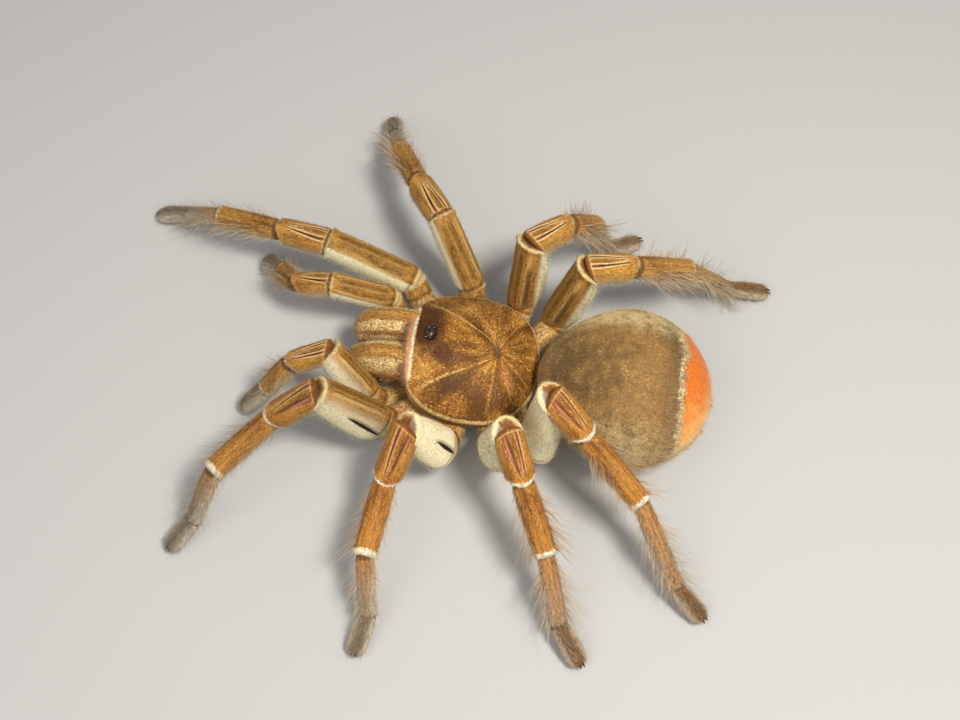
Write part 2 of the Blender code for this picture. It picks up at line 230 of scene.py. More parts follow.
def parts_of(side, kind):
    """One record per part: where it starts, its way, and how far it runs past the joint at each end. At
    the knee both ends lean towards the plane that halves the bend, as in a mitre."""
    joints = joints_of(side, kind)
    side_vector = unit(np.cross(joints[-2] - joints[3], (0, 0, 1)))
    names = ["coxa", "trochanter", "femur", "patella", "tibia", "metatarsus", "tarsus"]
    if kind == "palp":
        names = names[:5] + ["palp_tarsus"]
    scale = PALP_GIRTH if kind == "palp" else 1.0
    ways = [unit(after - before) for before, after in zip(joints, joints[1:])]
    parts = []
    for index, name in enumerate(names):
        widths, depths = (np.array(girth) * (1.0 if "tarsus" in name else scale) for girth in GIRTH[name])
        way = ways[index]
        across = unit(side_vector - np.dot(side_vector, way) * way)
        overs, leans = [], np.zeros((2, 2))
        for before in (index - 1, index):
            if before < 0:
                overs.append(1.0)
            elif before + 1 >= len(names):
                overs.append(0.0)
            else:
                bend = math.acos(max(-1.0, min(1.0, float(np.dot(ways[before], ways[before + 1])))))
                hinge = unit(np.cross(ways[before], ways[before + 1]) + 1e-9)
                end = 0 if before < index else 2
                level_hinge = abs(float(np.dot(hinge, across)))
                thick = math.hypot(depths[end] * level_hinge, widths[end] * (1 - level_hinge))
                full = min(0.9 + thick * math.tan(bend / 2), thick * 0.82)
                # The part further out covers the joint, and the one before ends in a lip behind it.
                if names[before] == "femur":
                    overs.append(0.8 if before < index else 0.6)
                    outside = ways[before] - ways[before + 1]
                    outside = unit(outside - np.dot(outside, way) * way)
                    most = MOST_LEAN[side][before - index + 1]
                    reach = thick * min(0.8 * math.tan(bend / 2), most)
                    leans[before - index + 1] = reach * (np.array([across, np.cross(across, way)]) @ outside)
                else:
                    overs.append(full if before < index else min(full, 0.55 + 0.12 * full))
        cell = (index % 4, index // 4)
        parts.append(record(name, side, joints[index], joints[index + 1], across, widths, depths, overs,
                            leans, cell))
    return parts


def bulge(x, middle, spread):
    """A smooth bump: e to the minus square of the distance from the middle, over the spread."""
    return np.exp(-(((x - middle) / spread) ** 2))


def part_skin(part, t, around):
    """A point of a part's skin. A straight tube with rounded ends runs from pole to pole as t goes from
    0 to 1; its half width and depth follow a parabola through three girths, less the coat's depth, with
    a ridge and a furrow at the far cuff, and two shallow furrows along the top of a patella. A slant
    moves the ends: by the square of the share still to go at the near end, by the cube of the share gone
    at the far one, and by its fourth power at a patella's round far edge."""
    x = part["total"] * (1 - np.cos(math.pi * t)) / 2 - part["back"]
    v = np.clip(x / part["length"], 0, 1)
    slant = 0.0
    if part["name"] == "patella":
        slant = (1.2 * (1 - np.cos(around)) + 1.3 * np.sin(around) ** 2) * v**4

    def girth(values):
        return (values[0] * (1 - v) * (1 - 2 * v) + values[1] * 4 * v * (1 - v)
                + values[2] * v * (2 * v - 1)) - COAT_DEPTH

    tip = part["ahead"] == 0
    far_cap = TIP_CAP if tip else min(part["ahead"], LIP) + (1.6 if part["name"] == "patella" else 0.5)
    near = np.clip((x + part["back"]) / (part["back"] + 1.0), 0, 1)
    far = np.clip((part["length"] + part["ahead"] - x) / far_cap, 0, 1)
    ends = ((1 - (1 - near) ** POLE_POWER) * (1 - (1 - far) ** POLE_POWER)) ** (1 / POLE_POWER)
    end = part["length"] + part["lip"]
    if not tip:
        ends = ends * (1 + 0.02 * bulge(x, end - 0.5, 0.7) - 0.03 * bulge(x, end - 2.3, 0.9))
    ends = ends * (1 - 0.05 * bulge(x, 0.3, 0.8))
    if part["name"] == "patella":
        furrow = bulge(np.abs(around), 0.50 - 0.30 * v, 0.12) * np.clip(5 * v * (0.9 - v) + 0.4, 0, 1)
        ends = ends * (1 - 0.06 * furrow)
    if part["name"] == "femur":
        flat = np.sin(around) ** 2 * bulge(v, 0.45, 0.5)
        ends = ends * (1 - 0.05 * flat + 0.05 * bulge(np.abs(around), math.pi, 0.9) * bulge(v, 0.3, 0.35))
    lean_near, lean_far = (row[0] * np.sin(around) + row[1] * np.cos(around) for row in part["leans"])
    slant = slant + ends * (lean_near * (1 - v) ** 2 - lean_far * v**3)
    centre = part["start"] + np.asarray(x - slant)[..., None] * part["way"]
    across = (girth(part["widths"]) * ends * np.sin(around))[..., None] * part["across"]
    up = (girth(part["depths"]) * ends * np.cos(around))[..., None] * part["dorsal"]
    points = centre + across + up
    points[..., 2] = np.maximum(points[..., 2], SOLE_LEVEL)
    return points


def skin_frame(surface, t, around):
    """Point, outward normal and lengthwise tangent, from differences of the surface over small steps."""
    step = 0.004
    point = surface(t, around)
    along = surface(np.clip(t + step, 0, 1), around) - surface(np.clip(t - step, 0, 1), around)
    round_it = surface(t, around + step) - surface(t, around - step)
    normal = unit(np.cross(round_it, along) + 1e-12)
    return point, normal, unit(along + 1e-12)


def closed_grid(rings, around):
    """Faces of a closed surface: a fan at each pole and squares between, with each corner's t and turn."""
    body = rings - 2
    index = 1 + np.arange(body * around).reshape(body, around)
    right = np.roll(index, -1, axis=1)
    squares = np.stack([index[:-1], right[:-1], right[1:], index[1:]], -1).reshape(-1, 4)
    last = body * around + 1
    first_fan = np.stack([np.zeros(around, int), right[0], index[0]], -1)
    last_fan = np.stack([index[-1], right[-1], np.full(around, last)], -1)

    def places(*corners):
        spots = [np.stack(np.broadcast_arrays(row / (rings - 1), column / around), -1)
                 for row, column in corners]
        return np.stack(spots, -2).reshape(-1, len(corners), 2)

    row, column = np.meshgrid(np.arange(1, rings - 2), np.arange(around), indexing="ij")
    turn, end = np.arange(around), rings - 1
    first = places((0, turn + 0.5), (1, turn + 1), (1, turn))
    last = places((end - 1, turn), (end - 1, turn + 1), (end, turn + 0.5))
    return [(squares, places((row, column), (row, column + 1), (row + 1, column + 1), (row + 1, column))),
            (np.concatenate([first_fan, last_fan]), np.concatenate([first, last]))]


def grid_places(rings, around):
    """The t and turn of every point of such a grid: one at each pole, and whole rings between."""
    t = np.repeat(np.arange(1, rings - 1) / (rings - 1), around)
    turn = np.tile(2 * math.pi * np.arange(around) / around - math.pi, rings - 2)
    return np.concatenate([[0.0], t, [1.0]]), np.concatenate([[0.0], turn, [0.0]])


MARGIN = 0.03  # of each oblong, left clear


def oblong(cell=(0, 0), cells=(1, 1)):
    """A surface's own oblong of the unwrap: the turn's share of the whole runs across it and t up it."""
    def spot(t, share):
        return np.stack([(cell[0] + MARGIN + (1 - 2 * MARGIN) * share) / cells[0],
                         (cell[1] + MARGIN + (1 - 2 * MARGIN) * t) / cells[1]], -1)
    return spot


def turned_share(turn):
    """The turn's share of the whole way round, from -180 degrees."""
    return ((turn + math.pi) / (2 * math.pi)) % 1.0


class Piece:
    """A mesh gathered from several surfaces or growths, each with its own values at its points."""

    def __init__(self):
        self.points, self.faces, self.values, self.maps, self.count = [], [], [], [], 0

    def add(self, points, faces, values, maps):
        """faces and maps are lists in step: arrays of corners, and each corner's place on the unwrap."""
        for corners, where in zip(faces, maps):
            self.faces.append(corners + self.count)
            self.maps.append(where)
        self.points.append(points)
        self.values.append({name: np.broadcast_to(value, (len(points), np.shape(value)[-1]))
                            for name, value in values.items()})
        self.count += len(points)

    def add_grid(self, surface, values, unwrap, rings, around):
        """A whole closed surface, from its functions of t and the turn for points, values and unwrap."""
        t, turn = grid_places(rings, around)
        faces, places = zip(*closed_grid(rings, around))
        self.add(surface(t, turn), faces, values(t, turn), [unwrap(at[..., 0], at[..., 1]) for at in places])

    def finish(self, name, material, slot, *nodes):
        """Makes the mesh and its object, riding on the body, and hides the nodes it stands for."""
        mesh = bpy.data.meshes.new(name)
        points = np.concatenate(self.points) * MM
        mesh.vertices.add(len(points))
        mesh.vertices.foreach_set("co", points.astype(np.float32).ravel())
        loops = np.concatenate([faces.ravel() for faces in self.faces]).astype(np.int32)
        sides = np.concatenate([np.full(len(faces), faces.shape[1]) for faces in self.faces])
        mesh.loops.add(len(loops))
        mesh.loops.foreach_set("vertex_index", loops)
        mesh.polygons.add(len(sides))
        mesh.polygons.foreach_set("loop_start", (np.cumsum(sides) - sides).astype(np.int32))
        mesh.polygons.foreach_set("use_smooth", np.ones(len(sides), bool))
        mesh.update(calc_edges=True)
        unwrap = mesh.uv_layers.new(name="OFBake")
        corners = np.concatenate([where.reshape(-1, 2) for where in self.maps])
        unwrap.uv.foreach_set("vector", corners.astype(np.float32).ravel())
        for key in self.values[0]:
            data = np.concatenate([values[key] for values in self.values]).astype(np.float32)
            mesh.attributes.new(key, "FLOAT_VECTOR", "POINT").data.foreach_set("vector", data.ravel())
        mesh.materials.append(material)
        made = bpy.data.objects.new(name, mesh)
        bpy.context.scene.collection.objects.link(made)
        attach(made, "root")
        if nodes:
            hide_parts(*nodes)


def part_values(part, t, around):
    """What the paint reads: the turn from the top towards the front face as sine and cosine, the share
    of the part's length, and then the part's code, its length, and how far past the joint its cuff sits."""
    v = (part["total"] * (1 - np.cos(math.pi * t)) / 2 - part["back"]) / part["length"]
    turn = around * part["flip"]
    return {"lie": np.stack([np.sin(turn), np.cos(turn), v], -1),
            "part": np.array([part["code"], part["length"], part["lip"]]), "hair": np.zeros(3)}


def add_part_skin(piece, part, surface=part_skin, rings=RINGS, around=AROUND):
    piece.add_grid(lambda t, turn: surface(part, t, turn), lambda t, turn: part_values(part, t, turn),
                   oblong(part["cell"], (4, 2)), rings, around)


PATCH = 0.003  # each hair's share of the unwrap
ROOT_DEPTH = 0.08  # how far each root is sunk into the skin


def grow(piece, frames, values, where, lengths, width, lifts, rings, droop, sway, seta, rng):
    """Hairs as closed three-sided spikes. Each leaves its root at the lift angle from its way, droops
    back by a share of it and sways aside with the square of the way out, and thins to a point."""
    roots, normals, ways = frames
    count = len(roots)
    length = rng.uniform(*lengths, count)[:, None, None]
    lift = np.radians(rng.uniform(*lifts, count))[:, None, None]
    aside = np.cross(normals, ways)[:, None, :]
    normal, way = normals[:, None, :], ways[:, None, :]
    lean = rng.normal(0, sway, count)[:, None, None]
    s = np.append(np.arange(rings) / rings, 1.0)[None, :, None]
    out = s * np.sin(lift) - droop * s**2 / 2 * np.sin(lift)
    along = s * np.cos(lift) + droop * s**2 / 4 * np.sin(lift)
    middle = roots[:, None, :] - normal * ROOT_DEPTH
    middle = middle + length * (way * along + normal * out + aside * lean * (0.5 * s + s**2) / 1.5)
    thick = width / 2 * rng.uniform(0.75, 1.25, count)[:, None, None, None] * (1 - s[:, :-1, :, None]) ** 0.6
    turn = (np.pi / 2 + np.arange(3) * 2 * np.pi / 3)[None, None, :, None]
    rim = np.cos(turn) * aside[:, :, None, :] * 1.25 + np.sin(turn) * normal[:, :, None, :] * 0.8
    body = (middle[:, :-1, None, :] + thick * rim).reshape(count, -1, 3)
    points = np.concatenate([body, middle[:, -1:, :]], axis=1)
    points[..., 2] = np.maximum(points[..., 2], HAIR_LEVEL)
    each = 3 * rings + 1
    base = (np.arange(count) * each)[:, None, None]
    ring = np.arange(3)
    after = (ring + 1) % 3
    caps = base + np.array([[0, 2, 1]])
    tips = base + np.stack([3 * (rings - 1) + ring, 3 * (rings - 1) + after, np.full(3, each - 1)], -1)
    small = np.concatenate([np.broadcast_to(caps, (count, 1, 3)), tips], 1).reshape(-1, 3)
    faces = [small]
    if rings > 1:
        lower = (3 * np.arange(rings - 1))[:, None]
        squares = np.stack([lower + ring, lower + after, lower + 3 + after, lower + 3 + ring], -1)
        faces.append((base + squares.reshape(1, -1, 4)).reshape(-1, 4))
    share = np.append(np.repeat(np.arange(rings) / rings, 3), 1.0)
    across = np.append(np.tile(ring / 2, rings), 0.5)
    patch = (np.stack([across, share], -1) - 0.5) * PATCH
    spots = (where[:, None, :] + patch).reshape(-1, 2)
    shade = rng.uniform(0, 1, count)
    hair = np.stack([np.tile(share, count), np.full(count * each, seta), np.repeat(shade, each)], -1)
    spread = {key: np.repeat(np.broadcast_to(value, (count, 3)), each, axis=0)
              for key, value in values.items()}
    spread["hair"] = hair
    piece.add(points.reshape(-1, 3), faces, spread, [spots[corners] for corners in faces])


def fur(piece, part, rng, count, span=(0.0, 1.0), turns=(-180, 180), lengths=(0.6, 1.0), width=0.12,
        lifts=(10, 26), rings=1, droop=0.3, sway=0.2, seta=0.0, surface=part_skin):
    """Roots at random over a stretch of a part and a range of turns from the top to the front face."""
    count = int(count)
    x = rng.uniform(*span, count) * part["length"]
    t = np.arccos(np.clip(1 - 2 * (x + part["back"]) / part["total"], -0.999, 0.999)) / math.pi
    turn = np.radians(rng.uniform(*turns, count)) * part["flip"]
    frames = skin_frame(lambda a, b: surface(part, a, b), t, turn)
    where = oblong(part["cell"], (4, 2))(t, turned_share(turn))
    grow(piece, frames, part_values(part, t, turn), where, lengths, width, lifts, rings, droop, sway, seta,
         rng)


def paint(red, green, blue):
    """A colour as a maker mixes it, 0 to 255, turned into the linear one that a shader wants."""
    share = np.array([red, green, blue]) / 255
    linear = np.where(share <= 0.04045, share / 12.92, ((share + 0.055) / 1.055) ** 2.4)
    return (*linear.tolist(), 1.0)


class Field:
    """A number that changes over a surface: a shader node's output, with sums and products as nodes."""

    def __init__(self, tree, socket):
        self.tree, self.socket = tree, socket

    def maths(self, operation, *others):
        return worked_out(self.tree, "Math", enumerate((self, *others)), operation=operation)

    def __add__(self, other):
        return self.maths("ADD", other)

    def __mul__(self, other):
        return self.maths("MULTIPLY", other)

    def __sub__(self, other):
        return self.maths("SUBTRACT", other)

    def __rsub__(self, other):
        return (self * -1.0).maths("ADD", other)

    def __abs__(self):
        return self.maths("ABSOLUTE")

    __radd__ = __add__
    __rmul__ = __mul__

    def step(self, low, high):
        """0 below the first number, 1 above the second, and a smooth rise between."""
        given = (("Value", self), ("From Min", low), ("From Max", high))
        return worked_out(self.tree, "MapRange", given, interpolation_type="SMOOTHSTEP")

    def fall(self, low, high):
        """1 below the first number, 0 above the second."""
        return 1.0 - self.step(low, high)

    def larger(self, other):
        return self.maths("MAXIMUM", other)

    def stripe(self, middle, half, soft):
        """1 within half of the middle, and a smooth fall to 0 over the soft edge beyond it."""
        return abs(self - middle).fall(half, half + soft)

    def is_part(self, code):
        return self.maths("COMPARE", float(code), 0.4)


def feed(tree, socket, value):
    if isinstance(value, Field):
        tree.links.new(value.socket, socket)
    else:
        socket.default_value = value


def worked_out(tree, kind, given=(), output=0, **settings):
    """One output of a new shader node of this kind, with its settings made and its inputs given."""
    node = tree.nodes.new("ShaderNode" + kind)
    for name, value in settings.items():
        setattr(node, name, value)
    for name, value in given:
        feed(tree, node.inputs[name], value)
    return Field(tree, node.outputs[output])


def attribute(tree, name):
    """The three numbers of a point attribute, as fields."""
    whole = worked_out(tree, "Attribute", output="Vector", attribute_name=name)
    first = worked_out(tree, "SeparateXYZ", [(0, whole)])
    return [Field(tree, output) for output in first.socket.node.outputs]


def vector(tree, *numbers):
    return worked_out(tree, "CombineXYZ", enumerate(numbers))


def object_place(tree):
    """Object coordinates in millimetres."""
    given = ((0, worked_out(tree, "TexCoord", output="Object")), ("Scale", 1 / MM))
    return worked_out(tree, "VectorMath", given, operation="SCALE")


def noise(where, scale, detail=2.0, rough=0.5):
    given = (("Vector", where), ("Scale", scale), ("Detail", detail), ("Roughness", rough))
    return worked_out(where.tree, "TexNoise", given, "Fac")


def cells(where, scale):
    """The distance to the nearest of many scattered spots, in spot spacings."""
    return worked_out(where.tree, "TexVoronoi", (("Vector", where), ("Scale", scale)), "Distance")


MIX_FIRST, MIX_SECOND, MIX_RESULT = 6, 7, 2  # the colour sockets of a Mix node


def blend(share, first, second):
    """The first colour where the share is 0 and the second where it is 1."""
    given = ((0, share), (MIX_FIRST, first), (MIX_SECOND, second))
    return worked_out(share.tree, "Mix", given, MIX_RESULT, data_type="RGBA")


def shaded(colour, share):
    """The colour times a grey number."""
    given = ((0, colour if isinstance(colour, Field) else colour[:3]), ("Scale", share))
    return worked_out(share.tree, "VectorMath", given, operation="SCALE")


def new_group(name, inputs=()):
    """A node group with these number inputs, which puts out a colour, a roughness and a height."""
    tree = bpy.data.node_groups.new(name, "ShaderNodeTree")
    for label in inputs:
        tree.interface.new_socket(label, in_out="INPUT", socket_type="NodeSocketFloat")
    for label, kind in (("Colour", "Color"), ("Roughness", "Float"), ("Height", "Float")):
        tree.interface.new_socket(label, in_out="OUTPUT", socket_type="NodeSocket" + kind)
    given = tree.nodes.new("NodeGroupInput")
    return tree, {label: Field(tree, given.outputs[label]) for label in inputs}


def close_group(tree, colour, roughness, height):
    out = tree.nodes.new("NodeGroupOutput")
    for label, value in (("Colour", colour), ("Roughness", roughness), ("Height", height)):
        feed(tree, out.inputs[label], value)


def finish_from(name, group, settings=(), bump=0.5, depth=0.25, sheen=0.0, specular=0.22, gloss_coat=0.0):
    """A material whose colour, roughness and small relief come from a group, given its settings."""
    made = bpy.data.materials.new(name)
    made.use_nodes = True
    tree = made.node_tree
    shader = tree.nodes["Principled BSDF"]
    node = tree.nodes.new("ShaderNodeGroup")
    node.node_tree = group
    for label, value in dict(settings).items():
        node.inputs[label].default_value = value
    colour, roughness, height = (Field(tree, output) for output in node.outputs)
    relief = worked_out(tree, "Bump", (("Strength", bump), ("Distance", depth * MM), ("Height", height)))
    for label, value in {
        "Base Color": colour, "Roughness": roughness, "Normal": relief, "Specular IOR Level": specular,
        "Sheen Weight": sheen, "Sheen Roughness": 0.4, "Sheen Tint": paint(255, 232, 190),
        "Coat Weight": gloss_coat,
    }.items():
        feed(tree, shader.inputs[label], value)
    return made


CREAM = paint(232, 216, 168)
IVORY = paint(246, 238, 205)
WHITE = paint(246, 240, 220)
UMBER = paint(66, 38, 14)
SOOT = paint(24, 15, 10)
# Which face shows the cream flank, the turn where it starts and its fade; how orange the velvet is;
# the flank's slit, the right side's streak and the glossy band; how grey the foot; cuffs; brightness.
LIMB_SETTINGS = ("Showy side", "Flank from", "Flank fade", "Warmth", "Slit", "Streak", "Gloss band",
                 "Foot ash", "Cuff", "Tone")


def limb_markings():
    """Gold to rust velvet with fine strands along the limb, and pale sides that are partly painted rim
    light;
    cream flanks with dark specks, a slit and soft dark bands on the femur; two bald bands that close in
    along the patella, the broad one with a painted highlight; a brown fold with a pale line round the knee;
    hairy pale cuffs, with painted shade where each next part starts; pale hips; an ash-grey foot."""
    tree, given = new_group("limb_markings", LIMB_SETTINGS)
    side, top, v = attribute(tree, "lie")
    code, length, lip = attribute(tree, "part")
    tip, seta, shade = attribute(tree, "hair")
    turn = side.maths("ARCTAN2", top)
    away = abs(turn)
    showy = turn * given["Showy side"]
    coxa, trochanter, femur, patella, tibia, metatarsus, tarsus = map(code.is_part, range(7))
    along = v * length
    to_end = length + lip - along
    where = object_place(tree)
    strand = noise(vector(tree, turn * 20.0, along * 0.8, code * 7.0), 1.0, 2.0, 0.6)
    lock = noise(vector(tree, turn * 8.0, along * 0.4, code * 5.0), 1.0, 3.0, 0.65)
    broad = noise(vector(tree, turn * 1.6, along * 0.08, code * 4.0), 1.0, 1.0)
    grain = noise(where, 2.4, 2.0, 0.6)
    blotch = noise(where, 0.16, 2.0)
    ragged = noise(where, 1.0, 3.0, 0.6) - 0.5

    # Velvet: dark roots showing between lighter strands.
    lock_share = 0.45 - patella * 0.3
    light = (lock - 0.5) * lock_share + strand * 0.6 + grain * 0.4 + (broad - 0.5) * 0.4
    light = light.step(0.34, 0.64)
    warmth = (given["Warmth"] - femur * 0.45 + (blotch - 0.5) * 0.5).step(0.0, 1.0)
    colour = blend(light, blend(warmth, paint(120, 78, 28), paint(122, 68, 22)),
                   blend(warmth, paint(202, 154, 74), paint(200, 138, 60)))

    # Pale sides and underside, partly paler hair and partly painted rim light along the outline,
    # and the femur's cream flanks with dark specks.
    pale_side_and_rim_light = (away + ragged * 0.5).step(1.0, 2.0) * 0.38 * (1.0 - tarsus) * (1.0 - femur)
    flank_edge = given["Flank from"]
    flank = (showy + ragged * 0.16).step(flank_edge, flank_edge + given["Flank fade"])
    far_flank = (ragged * 0.2 - showy).step(1.25, 1.7)
    flank = flank.larger(far_flank) * femur
    colour = blend(pale_side_and_rim_light.larger(flank), colour, shaded(IVORY, 0.84 + 0.26 * grain))
    speck = cells(where, 1.0).fall(0.13, 0.26)
    speck = speck * (blotch + ragged * 0.3).step(0.34, 0.50)
    colour = blend(speck * femur * (0.25 + flank * 0.5 + given["Streak"] * 0.5), colour, UMBER)

    # Soft dark bands along the top of the femur with pale margins, and the flank's dark edge.
    run = v.step(0.04, 0.2) * v.fall(0.84, 0.97)
    wander = turn + (broad - 0.5) * 0.25 + ragged * 0.06
    top_bands = wander.stripe(-0.22, 0.10, 0.16) + wander.stripe(0.30, 0.12, 0.18) * 0.8
    colour = blend(top_bands * femur * run * (0.34 + lock * 0.45), colour, UMBER)
    margin = (showy + ragged * 0.1).stripe(flank_edge - 0.08, 0.03, 0.09)
    colour = blend(margin * femur * run * 0.55, colour, UMBER)
    pale_margin = abs(wander).stripe(0.74, 0.05, 0.12)
    colour = blend(pale_margin * femur * run * (0.25 + grain * 0.4), colour, paint(230, 200, 138))
    way_off = (v - 0.28) * 3.0
    lens = 1.0 - way_off * way_off
    slit_share = femur * given["Slit"]
    slit = (lens * 0.115 - abs(showy - 1.70 + ragged * 0.05 + way_off * 0.07)).step(0.0, 0.03) * slit_share
    shade_by_it = (lens * 0.15 - abs(showy - 1.60 + way_off * 0.07)).step(-0.05, 0.12) * slit_share
    colour = blend(shade_by_it * 0.6, colour, UMBER)
    colour = blend(slit, colour, SOOT)
    streak = (ragged * 0.2 - showy).stripe(0.85, 0.07, 0.16) * v.stripe(0.42, 0.24, 0.16)
    streak = streak * femur * given["Streak"]
    colour = blend(streak * 0.75, colour, UMBER)

    # The patella's two bald bands: a dark slit between pale edges, or one broad wedge with a painted
    # highlight.
    gloss = given["Gloss band"]
    broad_one = showy.step(0.0, 0.1) * gloss
    taper = v.fall(-0.10, 0.90)
    centre = 0.15 + 0.30 * taper
    half = (0.06 + taper * 0.09 + broad_one * taper * 0.14) * v.fall(0.76, 0.90)
    off = away - centre + ragged * 0.06 + (broad - 0.5) * 0.22 + (v - 0.5) * (v - 0.5) * 0.4 - 0.04
    inside = (along + ragged * 0.8).step(0.4, 1.5) * (v + ragged * 0.1).fall(0.62, 0.88) * patella
    bald = (half - abs(off)).step(-0.02, 0.07) * inside
    edge = abs(abs(off) - half - 0.03).step(0.02, 0.10)
    edge = (1.0 - edge) * inside * (grain + broad_one * -0.2).step(0.15, 0.60)
    core = (half * 0.75 - abs(off + half * broad_one * 0.8)).step(-0.04, 0.07) * inside
    core = core * (0.92 - gloss * 0.3) * v.step(0.05, 0.3) * (ragged * 1.5 + 0.9).step(0.2, 0.8)
    colour = blend(bald * 0.8, colour, blend(broad_one, paint(128, 70, 48), paint(136, 70, 48)))
    # A painted highlight along the middle of the broad wedge.
    painted_highlight = abs(off - half * 0.1).fall(0.02, 0.16) * broad_one * inside
    painted_highlight = painted_highlight * v.step(0.02, 0.2) * v.fall(0.35, 0.65)
    colour = blend(painted_highlight * 0.45, colour, paint(222, 160, 128))
    colour = blend(edge * (0.85 - gloss * 0.42), colour, paint(240, 204, 150))
    colour = blend(core, colour, blend(gloss, paint(48, 25, 22), paint(76, 36, 20)))

    # The fold round the knee: brown, with a thin pale line on it.
    knee = along + ragged * 0.35
    fold = knee.fall(0.3, 1.0) * patella
    rim = knee.stripe(1.05, 0.08, 0.16) * patella
    colour = blend(fold * 0.8, colour, paint(104, 54, 22))
    colour = blend(rim * 0.35, colour, paint(232, 206, 150))

    # Faint pale and dark lines along the tibia and metatarsus.
    shin = tibia + metatarsus
    pale_line = wander.stripe(0.0, 0.03, 0.10) * v.stripe(0.15, 0.3, 0.4)
    dark_line = wander.stripe(0.32, 0.06, 0.14) + wander.stripe(-0.36, 0.06, 0.14)
    colour = blend(dark_line * shin * 0.26, colour, UMBER)
    colour = blend(pale_line * shin * (0.1 + metatarsus * 0.4) * strand, colour, paint(236, 200, 140))

    # The foot greys towards its tip, with a dark olive middle line and pale sides.
    ashy = (v + ragged * 0.3).step(-0.35, 0.9) * metatarsus * given["Foot ash"]
    ashy = ashy.larger(tarsus * (0.45 + given["Foot ash"] * 0.55))
    grey = blend((strand * 0.7 + away * 0.22).step(0.25, 0.75), paint(110, 98, 80), paint(218, 210, 194))
    olive = (1.2 - given["Foot ash"]) * (away + ragged * 0.5).fall(0.45, 1.0) * tarsus
    grey = blend(olive, grey, paint(84, 62, 34))
    colour = blend(ashy, colour, grey)

    # Cuffs, and painted shade where the next part starts, under the cuff before it.
    cuff_width = (0.4 + femur * 0.1 + tibia * 0.55 + patella * 0.75 - metatarsus * 0.1) * given["Cuff"]
    cuff = (to_end + ragged * 0.8 - femur * 0.35).step(-0.75, -0.4) * (1.0 - tarsus)
    cuff = cuff * (to_end + ragged * 1.6 - cuff_width + (strand - 0.5) * 2.4).fall(-0.25, 0.45)
    colour = blend(to_end.fall(-0.5, -0.2) * (1.0 - tarsus) * 0.8, colour, paint(116, 70, 34))
    pale = blend((tibia + patella) * given["Cuff"], CREAM, WHITE)
    colour = blend(cuff * (0.95 - metatarsus * 0.4), colour, pale)
    # Painted shade at the start of each part, under the cuff of the part before.
    gap_shade = (along + ragged * 0.6).fall(0.1, 0.9) * (1.0 - cuff) * (1.0 - patella) * (1.0 - femur)
    colour = blend(gap_shade * 0.72, colour, UMBER)

    # The hip: the femur's base is cream with a brown fold, and the two rings before it have pale ends.
    colour = blend(coxa * (lock * 0.5 + grain * 0.5).step(0.44, 0.60) * 0.55, colour, CREAM)
    hip = (along + ragged * 0.8).fall(-0.6, 0.3) * femur
    colour = blend(hip * 0.75, colour, paint(226, 202, 146))
    colour = blend((along + ragged * 0.6).stripe(0.6, 0.25, 0.5) * femur * 0.5, colour, UMBER)
    round_it = v + ragged * 0.2
    ring = trochanter * (1.0 - round_it.step(0.02, 0.3) * round_it.fall(0.72, 0.9))
    colour = blend(ring * 0.85, colour, paint(236, 214, 160))
    fold = trochanter * (v + ragged * 0.1).stripe(0.36, 0.03, 0.07)
    colour = blend(fold * 0.6, colour, paint(110, 60, 20))

    # Hairs are lighter towards their tips, and the long bristles are rosy grey.
    lit = tip * (0.15 + shade * shade * 0.85) * (0.25 + light * 0.45)
    lit = lit * (1.0 - slit) * (1.0 - core * 0.7) * (1.0 - olive * 0.8)
    lit_colour = blend(ashy, paint(228, 184, 112), paint(204, 198, 186))
    colour = blend(lit, colour, blend(flank, lit_colour, paint(246, 236, 204)))
    colour = blend(seta * (0.35 + tip * 0.6), colour, blend(shade, paint(118, 94, 70), paint(242, 228, 204)))
    colour = shaded(colour, given["Tone"])
    roughness = 0.62 - bald * 0.36 + cuff * 0.1 - seta * 0.15
    height = (strand * 0.7 + lock * 0.5 + grain * 0.4) * (1.0 - bald)
    height = height + ragged * cuff * 1.6 - slit * 1.5 - core
    close_group(tree, colour, roughness, height)
    return tree


LIMB_LOOKS = {
    ("left", "leg_1"): (-1.0, 0.70, 1.25, 0.60, 1.0, 0.0, 1.0, 0.90, 1.0, 0.80),
    ("left", "leg_2"): (-1.0, 0.35, 0.30, 0.80, 1.0, 0.0, 1.0, 0.80, 1.0, 0.97),
    ("left", "leg_3"): (1.0, 0.40, 0.30, 0.75, 0.0, 0.0, 1.0, 0.50, 1.0, 0.97),
    ("left", "leg_4"): (1.0, 0.30, 0.30, 0.75, 0.0, 0.0, 1.0, 0.42, 1.0, 0.96),
    ("left", "palp"): (-1.0, 0.60, 1.10, 0.35, 0.0, 0.0, 0.0, 0.85, 0.6, 0.90),
    ("right", "leg_1"): (1.0, 0.74, 0.20, 0.30, 0.0, 0.0, 0.0, 0.90, 0.45, 0.86),
    ("right", "leg_2"): (1.0, 0.72, 0.20, 0.30, 0.0, 0.0, 0.0, 0.85, 0.45, 0.88),
    ("right", "leg_3"): (1.0, 1.10, 0.30, 0.25, 0.0, 1.0, 0.0, 0.60, 0.45, 0.93),
    ("right", "leg_4"): (1.0, 1.10, 0.30, 0.30, 0.0, 1.0, 0.0, 0.40, 0.45, 0.93),
    ("right", "palp"): (1.0, 0.85, 0.20, 0.35, 0.0, 0.0, 0.0, 0.85, 0.45, 0.90),
}
limb_group = limb_markings()


